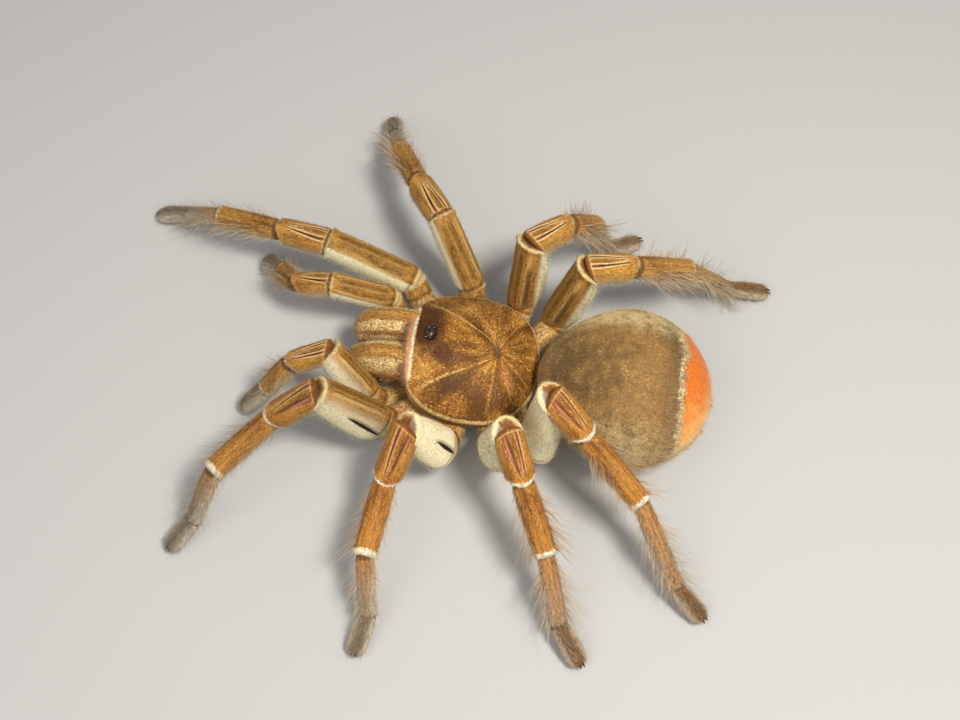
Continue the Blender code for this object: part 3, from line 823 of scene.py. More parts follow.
def grow_limb_coat(coat, parts, kind, rng):
    """Velvet all over, a fringe on each cuff, stiff hairs below, long bristles on the shin and foot,
    and the dense brush that hides each tarsus."""
    hind = kind in ("leg_3", "leg_4")
    for part in parts:
        name, length = part["name"], part["length"]
        skin = length * math.pi * (part["widths"][1] + part["depths"][1])  # square millimetres
        foot = name in ("tarsus", "palp_tarsus")
        fur(coat, part, rng, skin * (5.0 if foot else 4.6), (-0.02, 1.0), lengths=(0.55, 0.95), width=0.13,
            lifts=(12, 30) if not foot else (18, 42))
        if name != "coxa" and not foot:
            cuff = (1 - 1.2 / length, 1.02)
            fur(coat, part, rng, 420, cuff, lengths=(0.6, 1.5), lifts=(6, 40), sway=0.35)
        if name in ("femur", "patella", "tibia", "metatarsus"):
            fur(coat, part, rng, skin * 0.55, (0.02, 0.98), (95, 265), (1.2, 2.6), 0.10, (28, 70), 2, 0.6)
            for face in ((60, 120), (-120, -60)):
                fur(coat, part, rng, skin * 0.16, (0.05, 0.98), face, (1.0, 2.0), 0.09, (25, 60), 2, 0.6)
        if name in ("tibia", "metatarsus"):
            for face in ((35, 120), (-120, -35)):
                fur(coat, part, rng, 60, (0.05, 0.98), face, (2.6, 5.5), 0.13, (34, 68), 3, 0.7, 0.25, 0.8)
            for number, face in ((110, (-125, -45)), (55, (45, 125)))[0 if hind else 1:]:
                fur(coat, part, rng, number, (0.2, 0.98), face, (5.0, 11.5), 0.13, (32, 70), 4, 0.4, 0.18,
                    1.0)
            fur(coat, part, rng, 22, (0.1, 0.95), (130, 230), (3.0, 6.0), 0.11, (40, 75), 3, 0.7, 0.25, 0.7)
        if foot:
            fur(coat, part, rng, 620, (0.0, 0.97), lengths=(1.0, 1.7), lifts=(22, 50), rings=2, droop=0.7)
            fur(coat, part, rng, 60, (0.0, 0.9), (-110, 110), (2.2, 4.2), 0.10, (35, 65), 3, 0.7, 0.25, 0.9)


for number, (side, kind) in enumerate(LIMB_LOOKS):
    settings = zip(LIMB_SETTINGS, LIMB_LOOKS[side, kind])
    look = finish_from(f"{kind}_{side}_velvet", limb_group, settings, sheen=0.12)
    parts = parts_of(side, kind)
    skin = Piece()
    for part in parts:
        add_part_skin(skin, part)
    skin.finish(f"{kind}_{side}_skin", look, "limb",
                *(f"{kind}_{side}_{name}" for name in ("coxa", "femur", "patella", "tibia", "foot")))
    coat = Piece()
    grow_limb_coat(coat, parts, kind, np.random.default_rng(100 + number))
    coat.finish(f"{kind}_{side}_coat", look, "limb")

# ---------------------------------------------------------------------------------------- carapace
# The shield over the prosoma: one domed plate with the head raised in front, a pit where the inner
# muscles hold, furrows spreading from it, a thin pale rim and an upright front edge over the jaws.
SHIELD_WIDTH, SHIELD_FRONT = 40.5, 18.75
FRONT_REACH = 20.85  # where the round edge would end ahead, if the straight front did not cut it
SHIELD_DEPTH = 0.2  # of its coat at the edge
SHIELD_UNDERSIDE, SHIELD_RIM = 15.05, 15.75
SHIELD_POWER = 2.35  # of the superellipse that the edge follows
DOME, HUMP, HUMP_FORE, HUMP_SPREAD = 7.85, 3.95, 12.0, 9.5
DOME_FRONT = 30.0  # where the dome would come down to the rim ahead, past the front edge
HEAD_RISE = 0.083  # how fast the whole shield climbs from its rear edge to the head
HEAD_YAW = 3.5  # degrees the head is turned to its left
PIT_FORE = -7.4
# The furrows beside the head: their turn far from the pit in radians, and how they open towards it.
HEAD_RAY, HEAD_BEND = 0.47, 2.8
RAYS = (1.50, 1.98, 2.50)  # the other furrows' turns from straight ahead
SHIELD_RINGS, SHIELD_AROUND = 96, 180
TOP_SHARE, WALL_SHARE = 0.66, 0.76  # where along t the top ends, and the upright edge
SPREAD = 0.9  # the power of t that sets how far out each ring of the top lies


def shield_edge(turn):
    """The edge seen from above: a superellipse, cut nearly straight in front."""
    fore_reach = np.where(np.cos(turn) > 0, FRONT_REACH, SHIELD_REAR - SHIELD_DEPTH)
    across = np.abs(np.sin(turn)) / (SHIELD_WIDTH / 2 - SHIELD_DEPTH)
    ahead = np.abs(np.cos(turn)) / fore_reach
    round_edge = (across**SHIELD_POWER + ahead**SHIELD_POWER) ** (-1 / SHIELD_POWER)
    straight = SHIELD_FRONT / np.maximum(np.cos(turn), 0.05)
    return (round_edge**-14 + straight**-14) ** (-1 / 14)


def shield_level(fore, left):
    """The top's level: a dome that falls with reach to the power 2.6, plus the head's round hump, less
    a short cross pit and shallow furrows that follow the pit's rays and the head's two borders. Reach is
    0 in the middle and 1 at the sides and rear; in front it is less, so the edge there stays high."""
    turn = np.arctan2(left, fore)
    front = np.where(np.cos(turn) > 0, DOME_FRONT, SHIELD_REAR)
    across = np.abs(np.sin(turn)) / (SHIELD_WIDTH / 2)
    flat = across**SHIELD_POWER + (np.abs(np.cos(turn)) / front) ** SHIELD_POWER
    reach = np.clip(np.hypot(fore, left) * flat ** (1 / SHIELD_POWER), 0, 1)
    level = SHIELD_RIM + HEAD_RISE * (fore + SHIELD_REAR) + DOME * (1 - reach**2.6)
    level = level + HUMP * np.exp(-((fore - HUMP_FORE) ** 2 + left**2) / HUMP_SPREAD**2) * (1 - reach**6)
    level = level - 1.5 * np.exp(-((fore - PIT_FORE) ** 2 / 1.1 + left**2 / 5.0))
    span = np.hypot(fore - PIT_FORE, left)
    ray = np.abs(np.arctan2(left, fore - PIT_FORE))
    inside = np.clip(1 - reach**5, 0, 1) * np.clip(span / 3.5 - 0.5, 0, 1)
    level = level - 0.5 * bulge(ray, HEAD_RAY + HEAD_BEND / (span + 2), 0.13) * inside
    for line in RAYS:
        level = level - 0.36 * bulge(ray, line, 0.12) * inside
    return level


def shield_spot(t, turn):
    """Fore, left and level of a point of the plate: out over the top, down the edge, and back underneath
    as t goes 0 to 1."""
    edge = shield_edge(turn)
    top = np.clip(t / TOP_SHARE, 0, 1) ** SPREAD
    wall = np.clip((t - TOP_SHARE) / (WALL_SHARE - TOP_SHARE), 0, 1)
    under = np.clip((t - WALL_SHARE) / (1 - WALL_SHARE), 0, 1)
    share = np.where(t <= TOP_SHARE, top, 1 - under)
    span = share * edge + 0.22 * np.sin(math.pi * wall)
    fore, left = span * np.cos(turn), -span * np.sin(turn)
    rise = shield_level(fore, left) * (1 - wall) + SHIELD_UNDERSIDE * wall
    return fore, left, np.where(t > WALL_SHARE, SHIELD_UNDERSIDE + 0.2 * np.sin(math.pi * under), rise)


def shield_skin(t, turn):
    """The same point, turned about the upright axis through the prosoma's middle by the head's yaw."""
    fore, left, rise = shield_spot(t, turn)
    cosine, sine = math.cos(math.radians(HEAD_YAW)), math.sin(math.radians(HEAD_YAW))
    return place(fore * cosine - left * sine, left * cosine + fore * sine, rise)


def shield_values(t, turn):
    """The paint reads how far left and ahead a point lies, and its share of the way to the edge, which
    passes 1 on the upright edge and below."""
    fore, left, _ = shield_spot(t, turn)
    return {"lie": np.stack([left, fore, t / TOP_SHARE], -1), "hair": np.zeros(3)}


DARK_PATCHES = (  # fore, left, half size, soft edge, strength
    (12.4, -1.6, 3.9, 2.6, 1.0), (7.6, 4.2, 2.0, 1.8, 0.95), (13.6, 3.6, 0.6, 3.2, 0.35),
    (14.2, -7.4, 3.4, 3.6, 0.9),
)


def shield_markings():
    """Brown velvet with a fine gold speckle that streams from the pit in broad dark and light rays, and with
    the right side painted a little lighter against the lamps' shade; fine gold lines in the furrows, with
    painted shade beside them; dark patches round the eyes; a rosy front band with a cream line along the
    velvet's edge; a thin cream rim."""
    tree, _ = new_group("shield_markings")
    left, fore, reach = attribute(tree, "lie")
    tip, seta, shade = attribute(tree, "hair")
    ahead = fore - PIT_FORE
    span = (ahead * ahead + left * left).maths("SQRT")
    ray = left.maths("ARCTAN2", ahead)
    away = abs(ray)
    where = object_place(tree)
    stream = noise(vector(tree, ray * 24.0, span * 0.8, 0.0), 1.0, 3.0, 0.6)
    grain = noise(where, 2.2, 2.0, 0.6)
    rays = noise(vector(tree, ray * 3.2, span * 0.10, 3.0), 1.0, 2.0)
    broad = noise(where, 0.10, 2.0)
    # The term in left paints the right side a little lighter, against the shade that the lamps leave there.
    gold = stream * 0.45 + grain * 0.55 + (rays - 0.5) * 0.7 + (broad - 0.5) * 0.4 - left * 0.002
    colour = blend(gold.step(0.36, 0.60), paint(94, 56, 18), paint(166, 112, 42))
    colour = blend(gold.step(0.56, 0.76) * 0.8, colour, paint(222, 172, 90))
    fleck = cells(where, 1.3).fall(0.14, 0.30) * (gold + (grain - 0.5) * 0.5).step(0.40, 0.62)
    colour = blend(fleck * 0.8, colour, paint(240, 212, 152))
    bend = away - HEAD_RAY - (span + 2.0).maths("POWER", -1.0) * HEAD_BEND
    inside = reach.fall(0.80, 0.97) * span.step(1.0, 4.0)
    lines = bend.stripe(0.0, 0.007, 0.03)
    shadow = bend.stripe(0.12, 0.05, 0.14)
    for line in RAYS:
        lines = lines + away.stripe(line, 0.003, 0.025) * 0.45
        shadow = shadow + away.stripe(line + 0.14, 0.04, 0.12) * 0.7
    colour = blend(shadow * inside * 0.38, colour, paint(58, 34, 14))
    colour = blend(lines * inside * grain.step(0.36, 0.58) * 0.85, colour, paint(228, 186, 108))

    dark = fore * 0.0
    for at_fore, at_left, half, soft, strength in DARK_PATCHES:
        distance = ((fore - at_fore) * (fore - at_fore) + (left - at_left) * (left - at_left)).maths("SQRT")
        distance = distance + (grain - 0.5) * 1.4 + (broad - 0.5) * 3.0
        dark = dark.larger(distance.fall(half, half + soft) * strength)
    colour = blend(dark * 0.9, colour, paint(78, 40, 10))
    pit = abs(fore - PIT_FORE).fall(0.3, 1.2) * abs(left).fall(1.6, 3.0)
    colour = blend(pit * 0.6, colour, paint(66, 62, 62))
    brow = (fore + (grain - 0.5) * 0.8).step(15.9, 16.7) * abs(left).fall(11.5, 14.0)
    brow = brow.larger(reach.step(1.0, 1.03) * fore.step(12.0, 16.0))
    rosy = blend(grain * 0.6 + broad * 0.4, paint(196, 126, 84), paint(240, 196, 156))
    colour = blend(brow * 0.9, colour, rosy)
    lip = (fore + (grain - 0.5) * 0.9).stripe(16.3, 0.22, 0.4) * abs(left).fall(10.5, 12.5)
    colour = blend(lip * 0.85, colour, paint(252, 236, 200))
    rim = (reach + (grain - 0.5) * 0.02).step(0.965, 0.985) * reach.fall(1.01, 1.05)
    colour = blend(rim * (1.0 - brow) * 0.85, colour, paint(230, 202, 140))
    colour = blend(reach.step(1.03, 1.08) * (1.0 - brow * 0.6), colour, paint(122, 80, 40))
    lit = tip * (0.1 + shade * shade * 0.75) * (1.0 - dark * 0.8)
    colour = blend(lit, colour, paint(224, 172, 80))
    colour = blend(seta * (0.5 + tip * 0.4), colour, paint(100, 72, 54))
    close_group(tree, colour, 0.54 + dark * 0.06, stream * 0.8 + grain * 0.8)
    return tree


shield_look = finish_from("shield_velvet", shield_markings(), bump=0.55, sheen=0.1)


def disc_place(t, share):
    """The plate's unwrap: two discs side by side, its top and, from the edge's lip on, its underside."""
    turn = 2 * math.pi * share - math.pi
    over = t <= WALL_SHARE
    out = np.where(over, t / WALL_SHARE, (1 - t) / (1 - WALL_SHARE)) * (0.25 - MARGIN / 2)
    middle = np.where(over, 0.25, 0.75)
    return np.stack([middle + out * np.sin(turn), 0.5 + 2 * out * np.cos(turn)], -1)


shield = Piece()
shield.add_grid(shield_skin, shield_values, disc_place, SHIELD_RINGS, SHIELD_AROUND)
shield.finish("carapace_shell", shield_look, "carapace", "carapace")


def shield_fur(piece, rng, count, reach=(0.02, 0.985), turns=(-180, 180), lengths=(0.6, 1.1), width=0.12,
               lifts=(8, 22), rings=1, droop=0.4, sway=0.2, seta=0.0, forward=0.0):
    """Roots spread evenly over a ring of the plate; the hairs stream away from the pit, and forward too
    by that share."""
    low, high = reach
    share = np.sqrt(rng.uniform(low**2, high**2, count))
    t = np.where(share > 1, TOP_SHARE + (share - 1), np.clip(share, 0, 1) ** (1 / SPREAD) * TOP_SHARE)
    turn = np.radians(rng.uniform(*turns, count))
    point, normal, _ = skin_frame(shield_skin, t, turn)
    way = point - place(PIT_FORE, 0.0, 0.0)
    way[:, 2] = 0
    way = unit(way + 1e-6) + forward * np.array([0, -1.0, 0])
    way = unit(way - np.sum(way * normal, -1, keepdims=True) * normal + 1e-9)
    grow(piece, (point, normal, way), shield_values(t, turn), disc_place(t, turned_share(turn)), lengths,
         width, lifts, rings, droop, sway, seta, rng)


rng = np.random.default_rng(7)
shield_coat = Piece()
shield_fur(shield_coat, rng, 17000)
shield_fur(shield_coat, rng, 2600, (0.93, 1.02), lengths=(0.7, 1.3), lifts=(5, 30))
shield_fur(shield_coat, rng, 520, (0.96, 1.03), (-38, 38), (1.6, 3.0), 0.12, (5, 40), 2, 0.8, 0.3, 0.9, 0.9)
shield_fur(shield_coat, rng, 160, (0.5, 0.75), (-25, 25), (1.2, 2.2), 0.09, (20, 50), 2, 0.8, 0.3, 0.6, 1.0)
shield_coat.finish("carapace_coat", shield_look, "carapace")

# --------------------------------------------------------------------------------------------- eyes
# A dark polished knob on the head carries the eight eyes: two round ones in the middle in front, and
# three pearl-like ones on each side. They are clear domes of the shell itself.
MOUND_FORE = 11.6
MOUND_BASE = float(shield_level(np.array(MOUND_FORE), np.array(0.0)))
MOUND_HALF = (1.75, 2.55, 1.75)  # fore, left, up


def bare(t, turn):
    """The values of a surface whose paint follows nothing but its place."""
    return {"hair": np.zeros(3)}


def add_ball(piece, centre, halves, rings, around, cell=(0, 0)):
    """An ellipsoid with upright axis: ring radius the sine of half a turn times t, level its cosine."""
    fore, left, up = centre

    def surface(t, turn):
        ring, level = np.sin(math.pi * t), np.cos(math.pi * t)
        return place(fore + halves[0] * ring * np.cos(turn), left - halves[1] * ring * np.sin(turn),
                     up + halves[2] * level)

    piece.add_grid(surface, bare, oblong(cell, (4, 4)), rings, around)


def mound_markings():
    """Almost black shell with a faint red-brown grain."""
    tree, _ = new_group("mound_markings")
    grain = noise(object_place(tree), 1.6, 2.0)
    colour = blend(grain.step(0.4, 0.7), paint(24, 14, 12), paint(62, 34, 26))
    close_group(tree, colour, 0.24 + grain * 0.2, grain)
    return tree


def eye_markings():
    """Very dark, with a cloudy brown depth."""
    tree, _ = new_group("eye_markings")
    cloud = noise(object_place(tree), 0.9, 1.0)
    close_group(tree, blend(cloud, paint(10, 7, 8), paint(46, 30, 26)), 0.06 + cloud * 0.04, cloud)
    return tree


mound = Piece()
add_ball(mound, (MOUND_FORE, 0.0, MOUND_BASE), MOUND_HALF, 28, 40)
mound_look = finish_from("mound_shell", mound_markings(), bump=0.25, depth=0.15, specular=0.5)
mound.finish("eye_knob", mound_look, "eyes", "eye_mound")

EYE_SINK = 0.25  # of its radius
EYES = (  # fore and left from the mound's middle, radius
    (0.75, 0.75, 0.52), (1.15, 1.75, 0.50), (-0.35, 2.05, 0.46), (-0.75, 1.15, 0.36),
)
eyes = Piece()
for row, flip in enumerate(FLIP.values()):
    for column, (fore, left, radius) in enumerate(EYES):
        share = 1 - (fore / MOUND_HALF[0]) ** 2 - (left / MOUND_HALF[1]) ** 2
        level = MOUND_BASE + MOUND_HALF[2] * math.sqrt(max(share, 0.02)) - radius * EYE_SINK
        centre = (MOUND_FORE + fore, left * flip, level)
        add_ball(eyes, centre, (radius, radius, radius), 14, 20, (column, row))
eye_look = finish_from("eye_gloss", eye_markings(), bump=0.02, specular=0.5, gloss_coat=1.0)
eyes.finish("eyes", eye_look, "eyes")

# --------------------------------------------------------------------------------------- chelicerae
# Two stout jaws side by side under the front edge, each a single shell with bands of velvet along it,
# and a polished curved fang hinged below its end and folded back.
JAW_SIDE = 5.5
JAW_START, JAW_END = (14.6, 19.2), (35.7, 16.4)  # fore, height
JAW_GIRTH = ((5.2, 5.4, 4.7), (7.0, 7.2, 5.6))  # half widths and half depths
# Fore, left and height along a fang.
FANG_PATH = ((33.2, 5.4, 10.6), (33.7, 5.35, 7.4), (31.6, 5.2, 4.6), (28.0, 5.0, 3.7),
             (24.0, 4.7, 3.4), (20.8, 4.5, 3.7))
FANG_RADII = (1.85, 1.7, 1.45, 1.1, 0.75, 0.3)


def jaw_part(side):
    start, end = (place(fore, JAW_SIDE * FLIP[side], up) for fore, up in (JAW_START, JAW_END))
    return record("chelicera", side, start, end, np.array([-1.0, 0.0, 0.0]), *JAW_GIRTH, (0.4, 0.0),
                  np.zeros((2, 2)), (0 if side == "left" else 1, 0))


def jaw_skin(part, t, around):
    """A point of the jaw: the straight tube, arched. It rises by 0.9 in the middle, where 3.6 times v times
    what is left of it peaks, sinks by 3.0 times v to the fourth, and its last third is rounded off."""
    x = part["length"] * (1 - np.cos(math.pi * t)) / 2
    v = np.clip(x / part["length"], 0, 1)
    point = part_skin(part, t, around)
    centre = part["start"] + x[..., None] * part["way"]
    slim = np.sqrt(1 - 0.42 * np.clip((v - 0.62) / 0.38, 0, 1) ** 2.0)
    point = centre + (point - centre) * slim[..., None]
    point[..., 2] += 3.6 * v * (1 - v) - 3.0 * v**4
    return point


def jaw_markings():
    """Bands along the jaw: orange-brown velvet, then grainy cream, twice over from the top outwards."""
    tree, _ = new_group("jaw_markings")
    side, top, v = attribute(tree, "lie")
    tip, _, shade = attribute(tree, "hair")
    turn = side.maths("ARCTAN2", top)
    where = object_place(tree)
    grain = noise(where, 1.7, 2.0, 0.6)
    broad = noise(where, 0.2, 2.0)
    lines = noise(vector(tree, turn * 9.0, v * 7.0, 0.0), 1.0, 2.0)
    colour = blend((lines * 0.5 + grain * 0.5).step(0.38, 0.62), paint(142, 96, 42), paint(202, 156, 84))
    wave = turn + (broad - 0.5) * 0.2 + (lines - 0.5) * 0.12
    bands = wave.stripe(0.62, 0.16, 0.24).larger(wave.stripe(1.38, 0.14, 0.26))
    bands = bands.larger((wave * -1.0).stripe(0.95, 0.25, 0.3))
    bands = bands.larger(abs(wave).step(2.0, 2.6) * 0.5)
    colour = blend(bands * (0.1 + grain.step(0.42, 0.60) * 0.75), colour, paint(240, 222, 170))
    brown = wave.stripe(0.16, 0.05, 0.2) * 0.4 + wave.stripe(1.02, 0.05, 0.16) * 0.6
    brown = brown + (wave * -1.0).stripe(0.42, 0.03, 0.12) * 0.3 + wave.stripe(1.72, 0.04, 0.12) * 0.45
    colour = blend(brown * v.step(0.0, 0.2) * (1.0 - v.step(0.7, 0.95) * 0.8), colour, paint(124, 70, 24))
    colour = blend((v + (grain - 0.5) * 0.1).step(0.86, 0.98) * 0.5, colour, paint(224, 196, 140))
    colour = blend(tip * (0.2 + shade * 0.5), colour, paint(236, 200, 136))
    close_group(tree, colour, 0.6, lines * 0.5 + grain * 0.8)
    return tree


def fang_markings():
    """Black horn that turns red-brown at the root."""
    tree, _ = new_group("fang_markings")
    cloud = noise(object_place(tree), 0.5, 2.0)
    colour = blend(cloud.step(0.3, 0.8), paint(20, 12, 12), paint(56, 24, 18))
    close_group(tree, colour, 0.16 + cloud * 0.1, cloud)
    return tree


jaw_look = finish_from("jaw_velvet", jaw_markings(), sheen=0.12)
fang_look = finish_from("fang_horn", fang_markings(), bump=0.05, specular=0.5, gloss_coat=0.5)


def drawn_tube(path, radii, t, turn):
    """A point of a round tube along a path with closed ends. Its middle line is the straight run through
    the path's points, averaged over a short stretch; each ring is square to it, and the radius falls to
    a rounded end at each pole."""
    path = np.array(path, float)
    stations = np.linspace(0, 1, len(path))
    s = (1 - np.cos(math.pi * t)) / 2

    def smooth(values, at):
        near = ((0.25, -0.07), (0.5, 0.0), (0.25, 0.07))
        return sum(weight * np.interp(at + off, stations, values) for weight, off in near)

    centre, ahead, behind = (np.stack([smooth(values, np.clip(s + off, 0, 1)) for values in path.T], -1)
                             for off in (0.0, 0.02, -0.02))
    way = unit(ahead - behind + 1e-9)
    aside = unit(np.cross(way, np.broadcast_to((0, 0, 1.0), way.shape)) + np.array([1e-6, 0, 0]))
    aside = np.where(np.abs(way[:, 2:]) > 0.97, np.array([-1.0, 0, 0]), aside)
    aside = unit(aside - np.sum(aside * way, -1, keepdims=True) * way)
    up = np.cross(aside, way)
    radius = smooth(np.array(radii), s) * np.sin(math.pi * t) ** 0.35
    return centre + radius[:, None] * (np.sin(turn)[:, None] * aside + np.cos(turn)[:, None] * up)


def add_tube(piece, path, radii, rings=30, around=20, values=bare):
    piece.add_grid(lambda t, turn: drawn_tube(path, radii, t, turn), values, oblong((0, 0), (4, 2)), rings,
                   around)


rng = np.random.default_rng(17)
for side, flip in FLIP.items():
    jaw = jaw_part(side)
    jaw_shell = Piece()
    add_part_skin(jaw_shell, jaw, jaw_skin, 60, 72)
    jaw_shell.finish(f"chelicera_{side}_skin", jaw_look, "limb", f"chelicera_{side}")
    jaw_coat = Piece()
    for count, span, turns, lengths, width, lifts, rings, droop in (
        (5200, (0.0, 0.98), (-180, 180), (0.6, 1.1), 0.12, (10, 26), 1, 0.3),
        (700, (0.85, 0.99), (-180, 180), (1.0, 1.8), 0.11, (15, 45), 2, 0.3),
        (700, (0.05, 0.98), (110, 250), (1.6, 3.2), 0.11, (25, 65), 2, 0.6),
    ):
        fur(jaw_coat, jaw, rng, count, span, turns, lengths, width, lifts, rings, droop, surface=jaw_skin)
    jaw_coat.finish(f"chelicera_{side}_coat", jaw_look, "limb")
    fang = Piece()
    add_tube(fang, place(*(np.array(FANG_PATH) * (1, flip, 1)).T), FANG_RADII)
    fang.finish(f"fang_{side}_horn", fang_look, "fang", f"fang_{side}")

# ----------------------------------------------------------------------------------------- abdomen
# A big soft oval bag joined to the prosoma by a narrow waist. Grey-brown velvet covers it, except for
# an orange patch high at the rear where the stinging hairs have been kicked off, edged with cream.
BAG_LENGTH, BAG_WIDTH, BAG_HEIGHT = 50.0, 47.6, 37.0
BAG_CENTRE = (-43.9, 2.2, 20.6)
BAG_YAW, BAG_NARROWING = 2.0, 0.2
BAG_DEPTH = 0.45  # of its coat
STOP_AT, STOP_WAY = (-20.7, 0.0, 17.0), (0.0, -1.0, -0.25)  # the plane where the shield stops the bag
# The bare cap, in the unit ball: how far back its line lies, the line's slant and notch, and its sides.
CAP_LINE, CAP_SLANT, CAP_NOTCH, CAP_NOTCH_LEFT, CAP_MIDDLE, CAP_HALF = 0.63, 0.13, 0.05, -0.34, 0.06, 0.78
BAG_RINGS, BAG_AROUND = 120, 150


def bag_skin(t, turn):
    """A point of the bag: an ellipsoid from the waist's pole to the rear pole, slimmer towards the waist
    by the power 1.5, flattened where it meets the shield, with faint dimples over its back."""
    ahead, ring = np.cos(math.pi * t), np.sin(math.pi * t)
    slim = 1 - BAG_NARROWING * np.maximum(0.0, ahead) ** 1.5
    swell = 1 - 0.006 * bulge(np.abs(turn), 0.5, 0.12) * np.sin(ahead * 9.0) * ring
    fore = ahead * (BAG_LENGTH / 2 - BAG_DEPTH)
    left = ring * np.sin(turn) * (BAG_WIDTH / 2 - BAG_DEPTH) * slim * swell
    up = ring * np.cos(turn) * (BAG_HEIGHT / 2 - BAG_DEPTH) * slim * swell
    yaw = math.radians(BAG_YAW)
    point = place(BAG_CENTRE[0] + fore * math.cos(yaw) + left * math.sin(yaw),
                  BAG_CENTRE[1] + left * math.cos(yaw) - fore * math.sin(yaw), BAG_CENTRE[2] + up)
    stop_way = unit(np.array(STOP_WAY))
    over = np.maximum(0.0, (point - place(*STOP_AT)) @ stop_way)
    return point - over[..., None] * stop_way


def bag_values(t, turn):
    """The paint reads the direction from the bag's middle: left, up and ahead, as a unit vector."""
    ring = np.sin(math.pi * t)
    return {"lie": np.stack([ring * np.sin(turn), ring * np.cos(turn), np.cos(math.pi * t)], -1),
            "hair": np.zeros(3)}


def bag_markings():
    """Olive grey-brown velvet, mottled, with fine pale specks and a paler rim on the sides and lower half
    that is painted rim light; the orange patch is the rear cap above a slanting line, paler below, within a
    ragged cream border."""
    tree, _ = new_group("bag_markings")
    left, up, ahead = attribute(tree, "lie")
    tip, seta, shade = attribute(tree, "hair")
    where = object_place(tree)
    grain = noise(where, 1.3, 3.0, 0.6)
    mottle = noise(where, 0.28, 3.0, 0.6)
    broad = noise(where, 0.07, 2.0)
    olive = (mottle * 0.5 + broad * 0.7 + ahead * -0.1).step(0.36, 0.76)
    colour = blend(olive, paint(104, 78, 44), paint(158, 118, 66))
    colour = shaded(colour, 0.36 + 0.92 * grain)
    fleck = noise(where, 2.1, 2.0, 0.7).step(0.58, 0.68) * mottle.step(0.40, 0.60)
    colour = blend(fleck * 0.6, colour, paint(228, 200, 140))
    # Painted rim light: the sides and lower half are paler, most on the right side, where the fuzz at the
    # outline catches the light.
    rim = up.fall(-0.35, 0.45).larger((abs(left) - left * 0.24).step(0.42, 0.84))
    colour = blend(rim * (grain * 0.5 + mottle * 0.5).step(0.3, 0.62) * 0.8, colour, paint(224, 206, 156))
    ragged = (noise(where, 0.55, 3.0, 0.65) - 0.5) * 0.19
    back = ahead * -1.0 - left * CAP_SLANT + ragged - left.stripe(CAP_NOTCH_LEFT, 0.03, 0.16) * CAP_NOTCH
    aside = abs(left - CAP_MIDDLE) + ragged
    cap = back.step(CAP_LINE - 0.005, CAP_LINE + 0.015) * (up + ragged).step(0.03, 0.07)
    cap = cap * aside.fall(CAP_HALF, CAP_HALF + 0.03)
    border = back.step(0.54, 0.60) * (up + ragged).step(-0.08, -0.02) * aside.fall(0.82, 0.88)
    dusk = back.stripe(0.50, 0.05, 0.09) * up.step(-0.1, 0.2) * mottle
    colour = blend(dusk * 0.42, colour, paint(56, 44, 24))
    colour = blend(border * grain.step(0.25, 0.6) * 0.85, colour, paint(226, 212, 170))
    flesh = blend((mottle * 0.5 + left * 0.35 + up.fall(0.1, 0.6) * 0.3).step(0.20, 0.80),
                  paint(206, 107, 34), paint(230, 172, 92))
    colour = blend(cap, colour, shaded(flesh, 0.45 + 1.06 * grain))
    lit = tip * (0.1 + shade * shade * 0.6)
    colour = blend(lit * (1.0 - cap), colour, paint(206, 182, 130))
    colour = blend(seta * (0.5 + tip * 0.4), colour, paint(214, 184, 156))
    close_group(tree, colour, 0.66 - cap * 0.2, grain * 0.9 * (1.0 - cap * 0.7) + mottle * 0.7)
    return tree


bag_look = finish_from("bag_velvet", bag_markings(), bump=0.6, depth=0.3, sheen=0.25)
bag = Piece()
bag.add_grid(bag_skin, bag_values, oblong(), BAG_RINGS, BAG_AROUND)


def bag_fur(piece, rng, count, turns=(-180, 180), span=(-0.96, 0.96), lengths=(0.7, 1.2), width=0.13,
            lifts=(10, 26), rings=1, droop=0.4, sway=0.25, seta=0.0):
    """Roots spread evenly over the ellipsoid, but for the bare cap; the hairs lie back towards the rear."""
    t = np.arccos(rng.uniform(*span, count)) / math.pi
    turn = np.radians(rng.uniform(*turns, count))
    left, up, ahead = bag_values(t, turn)["lie"].T
    line = ahead + left * CAP_SLANT + CAP_NOTCH * bulge(left, CAP_NOTCH_LEFT, 0.12)
    keep = ~((line < -CAP_LINE) & (up > 0.04) & (np.abs(left - CAP_MIDDLE) < CAP_HALF))
    t, turn = t[keep], turn[keep]
    grow(piece, skin_frame(bag_skin, t, turn), bag_values(t, turn), oblong()(t, turned_share(turn)), lengths,
         width, lifts, rings, droop, sway, seta, rng)


# Fore, left and height along a spinneret.
SPINNERET = ((-60.8, 3.0, 6.9), (-64.0, 3.3, 4.9), (-66.8, 3.6, 4.0), (-69.2, 4.0, 3.6))
SPINNERET_RADII = (1.75, 1.6, 1.25, 0.8)


def low_and_back(t, turn):
    """The spinnerets are painted as the bag is low at its rear."""
    return {"lie": np.array([0.0, -0.8, -0.6]), "hair": np.zeros(3)}


for flip in FLIP.values():
    add_tube(bag, place(*(np.array(SPINNERET) * (1, flip, 1)).T), SPINNERET_RADII, 26, 20, low_and_back)
bag.finish("abdomen_skin", bag_look, "abdomen", "abdomen", "spinneret_left", "spinneret_right")

rng = np.random.default_rng(27)
for name, turns in (("back", (-75, 75)), ("belly", (75, 285))):
    bag_coat = Piece()
    bag_fur(bag_coat, rng, 26000, turns)
    bag_fur(bag_coat, rng, 1500, turns, lengths=(1.2, 2.0), lifts=(25, 55), rings=2, width=0.11)
    if name == "belly":
        bag_fur(bag_coat, rng, 1300, (85, 275), (-0.9, 0.8), (2.5, 4.8), 0.11, (20, 50), 3, 0.7, 0.25, 0.7)
    bag_fur(bag_coat, rng, 900, turns, (-1.0, -0.45), (1.8, 3.4), 0.11, (20, 45), 3, 0.7, 0.25, 0.6)
    bag_coat.finish(f"abdomen_coat_{name}", bag_look, "abdomen")

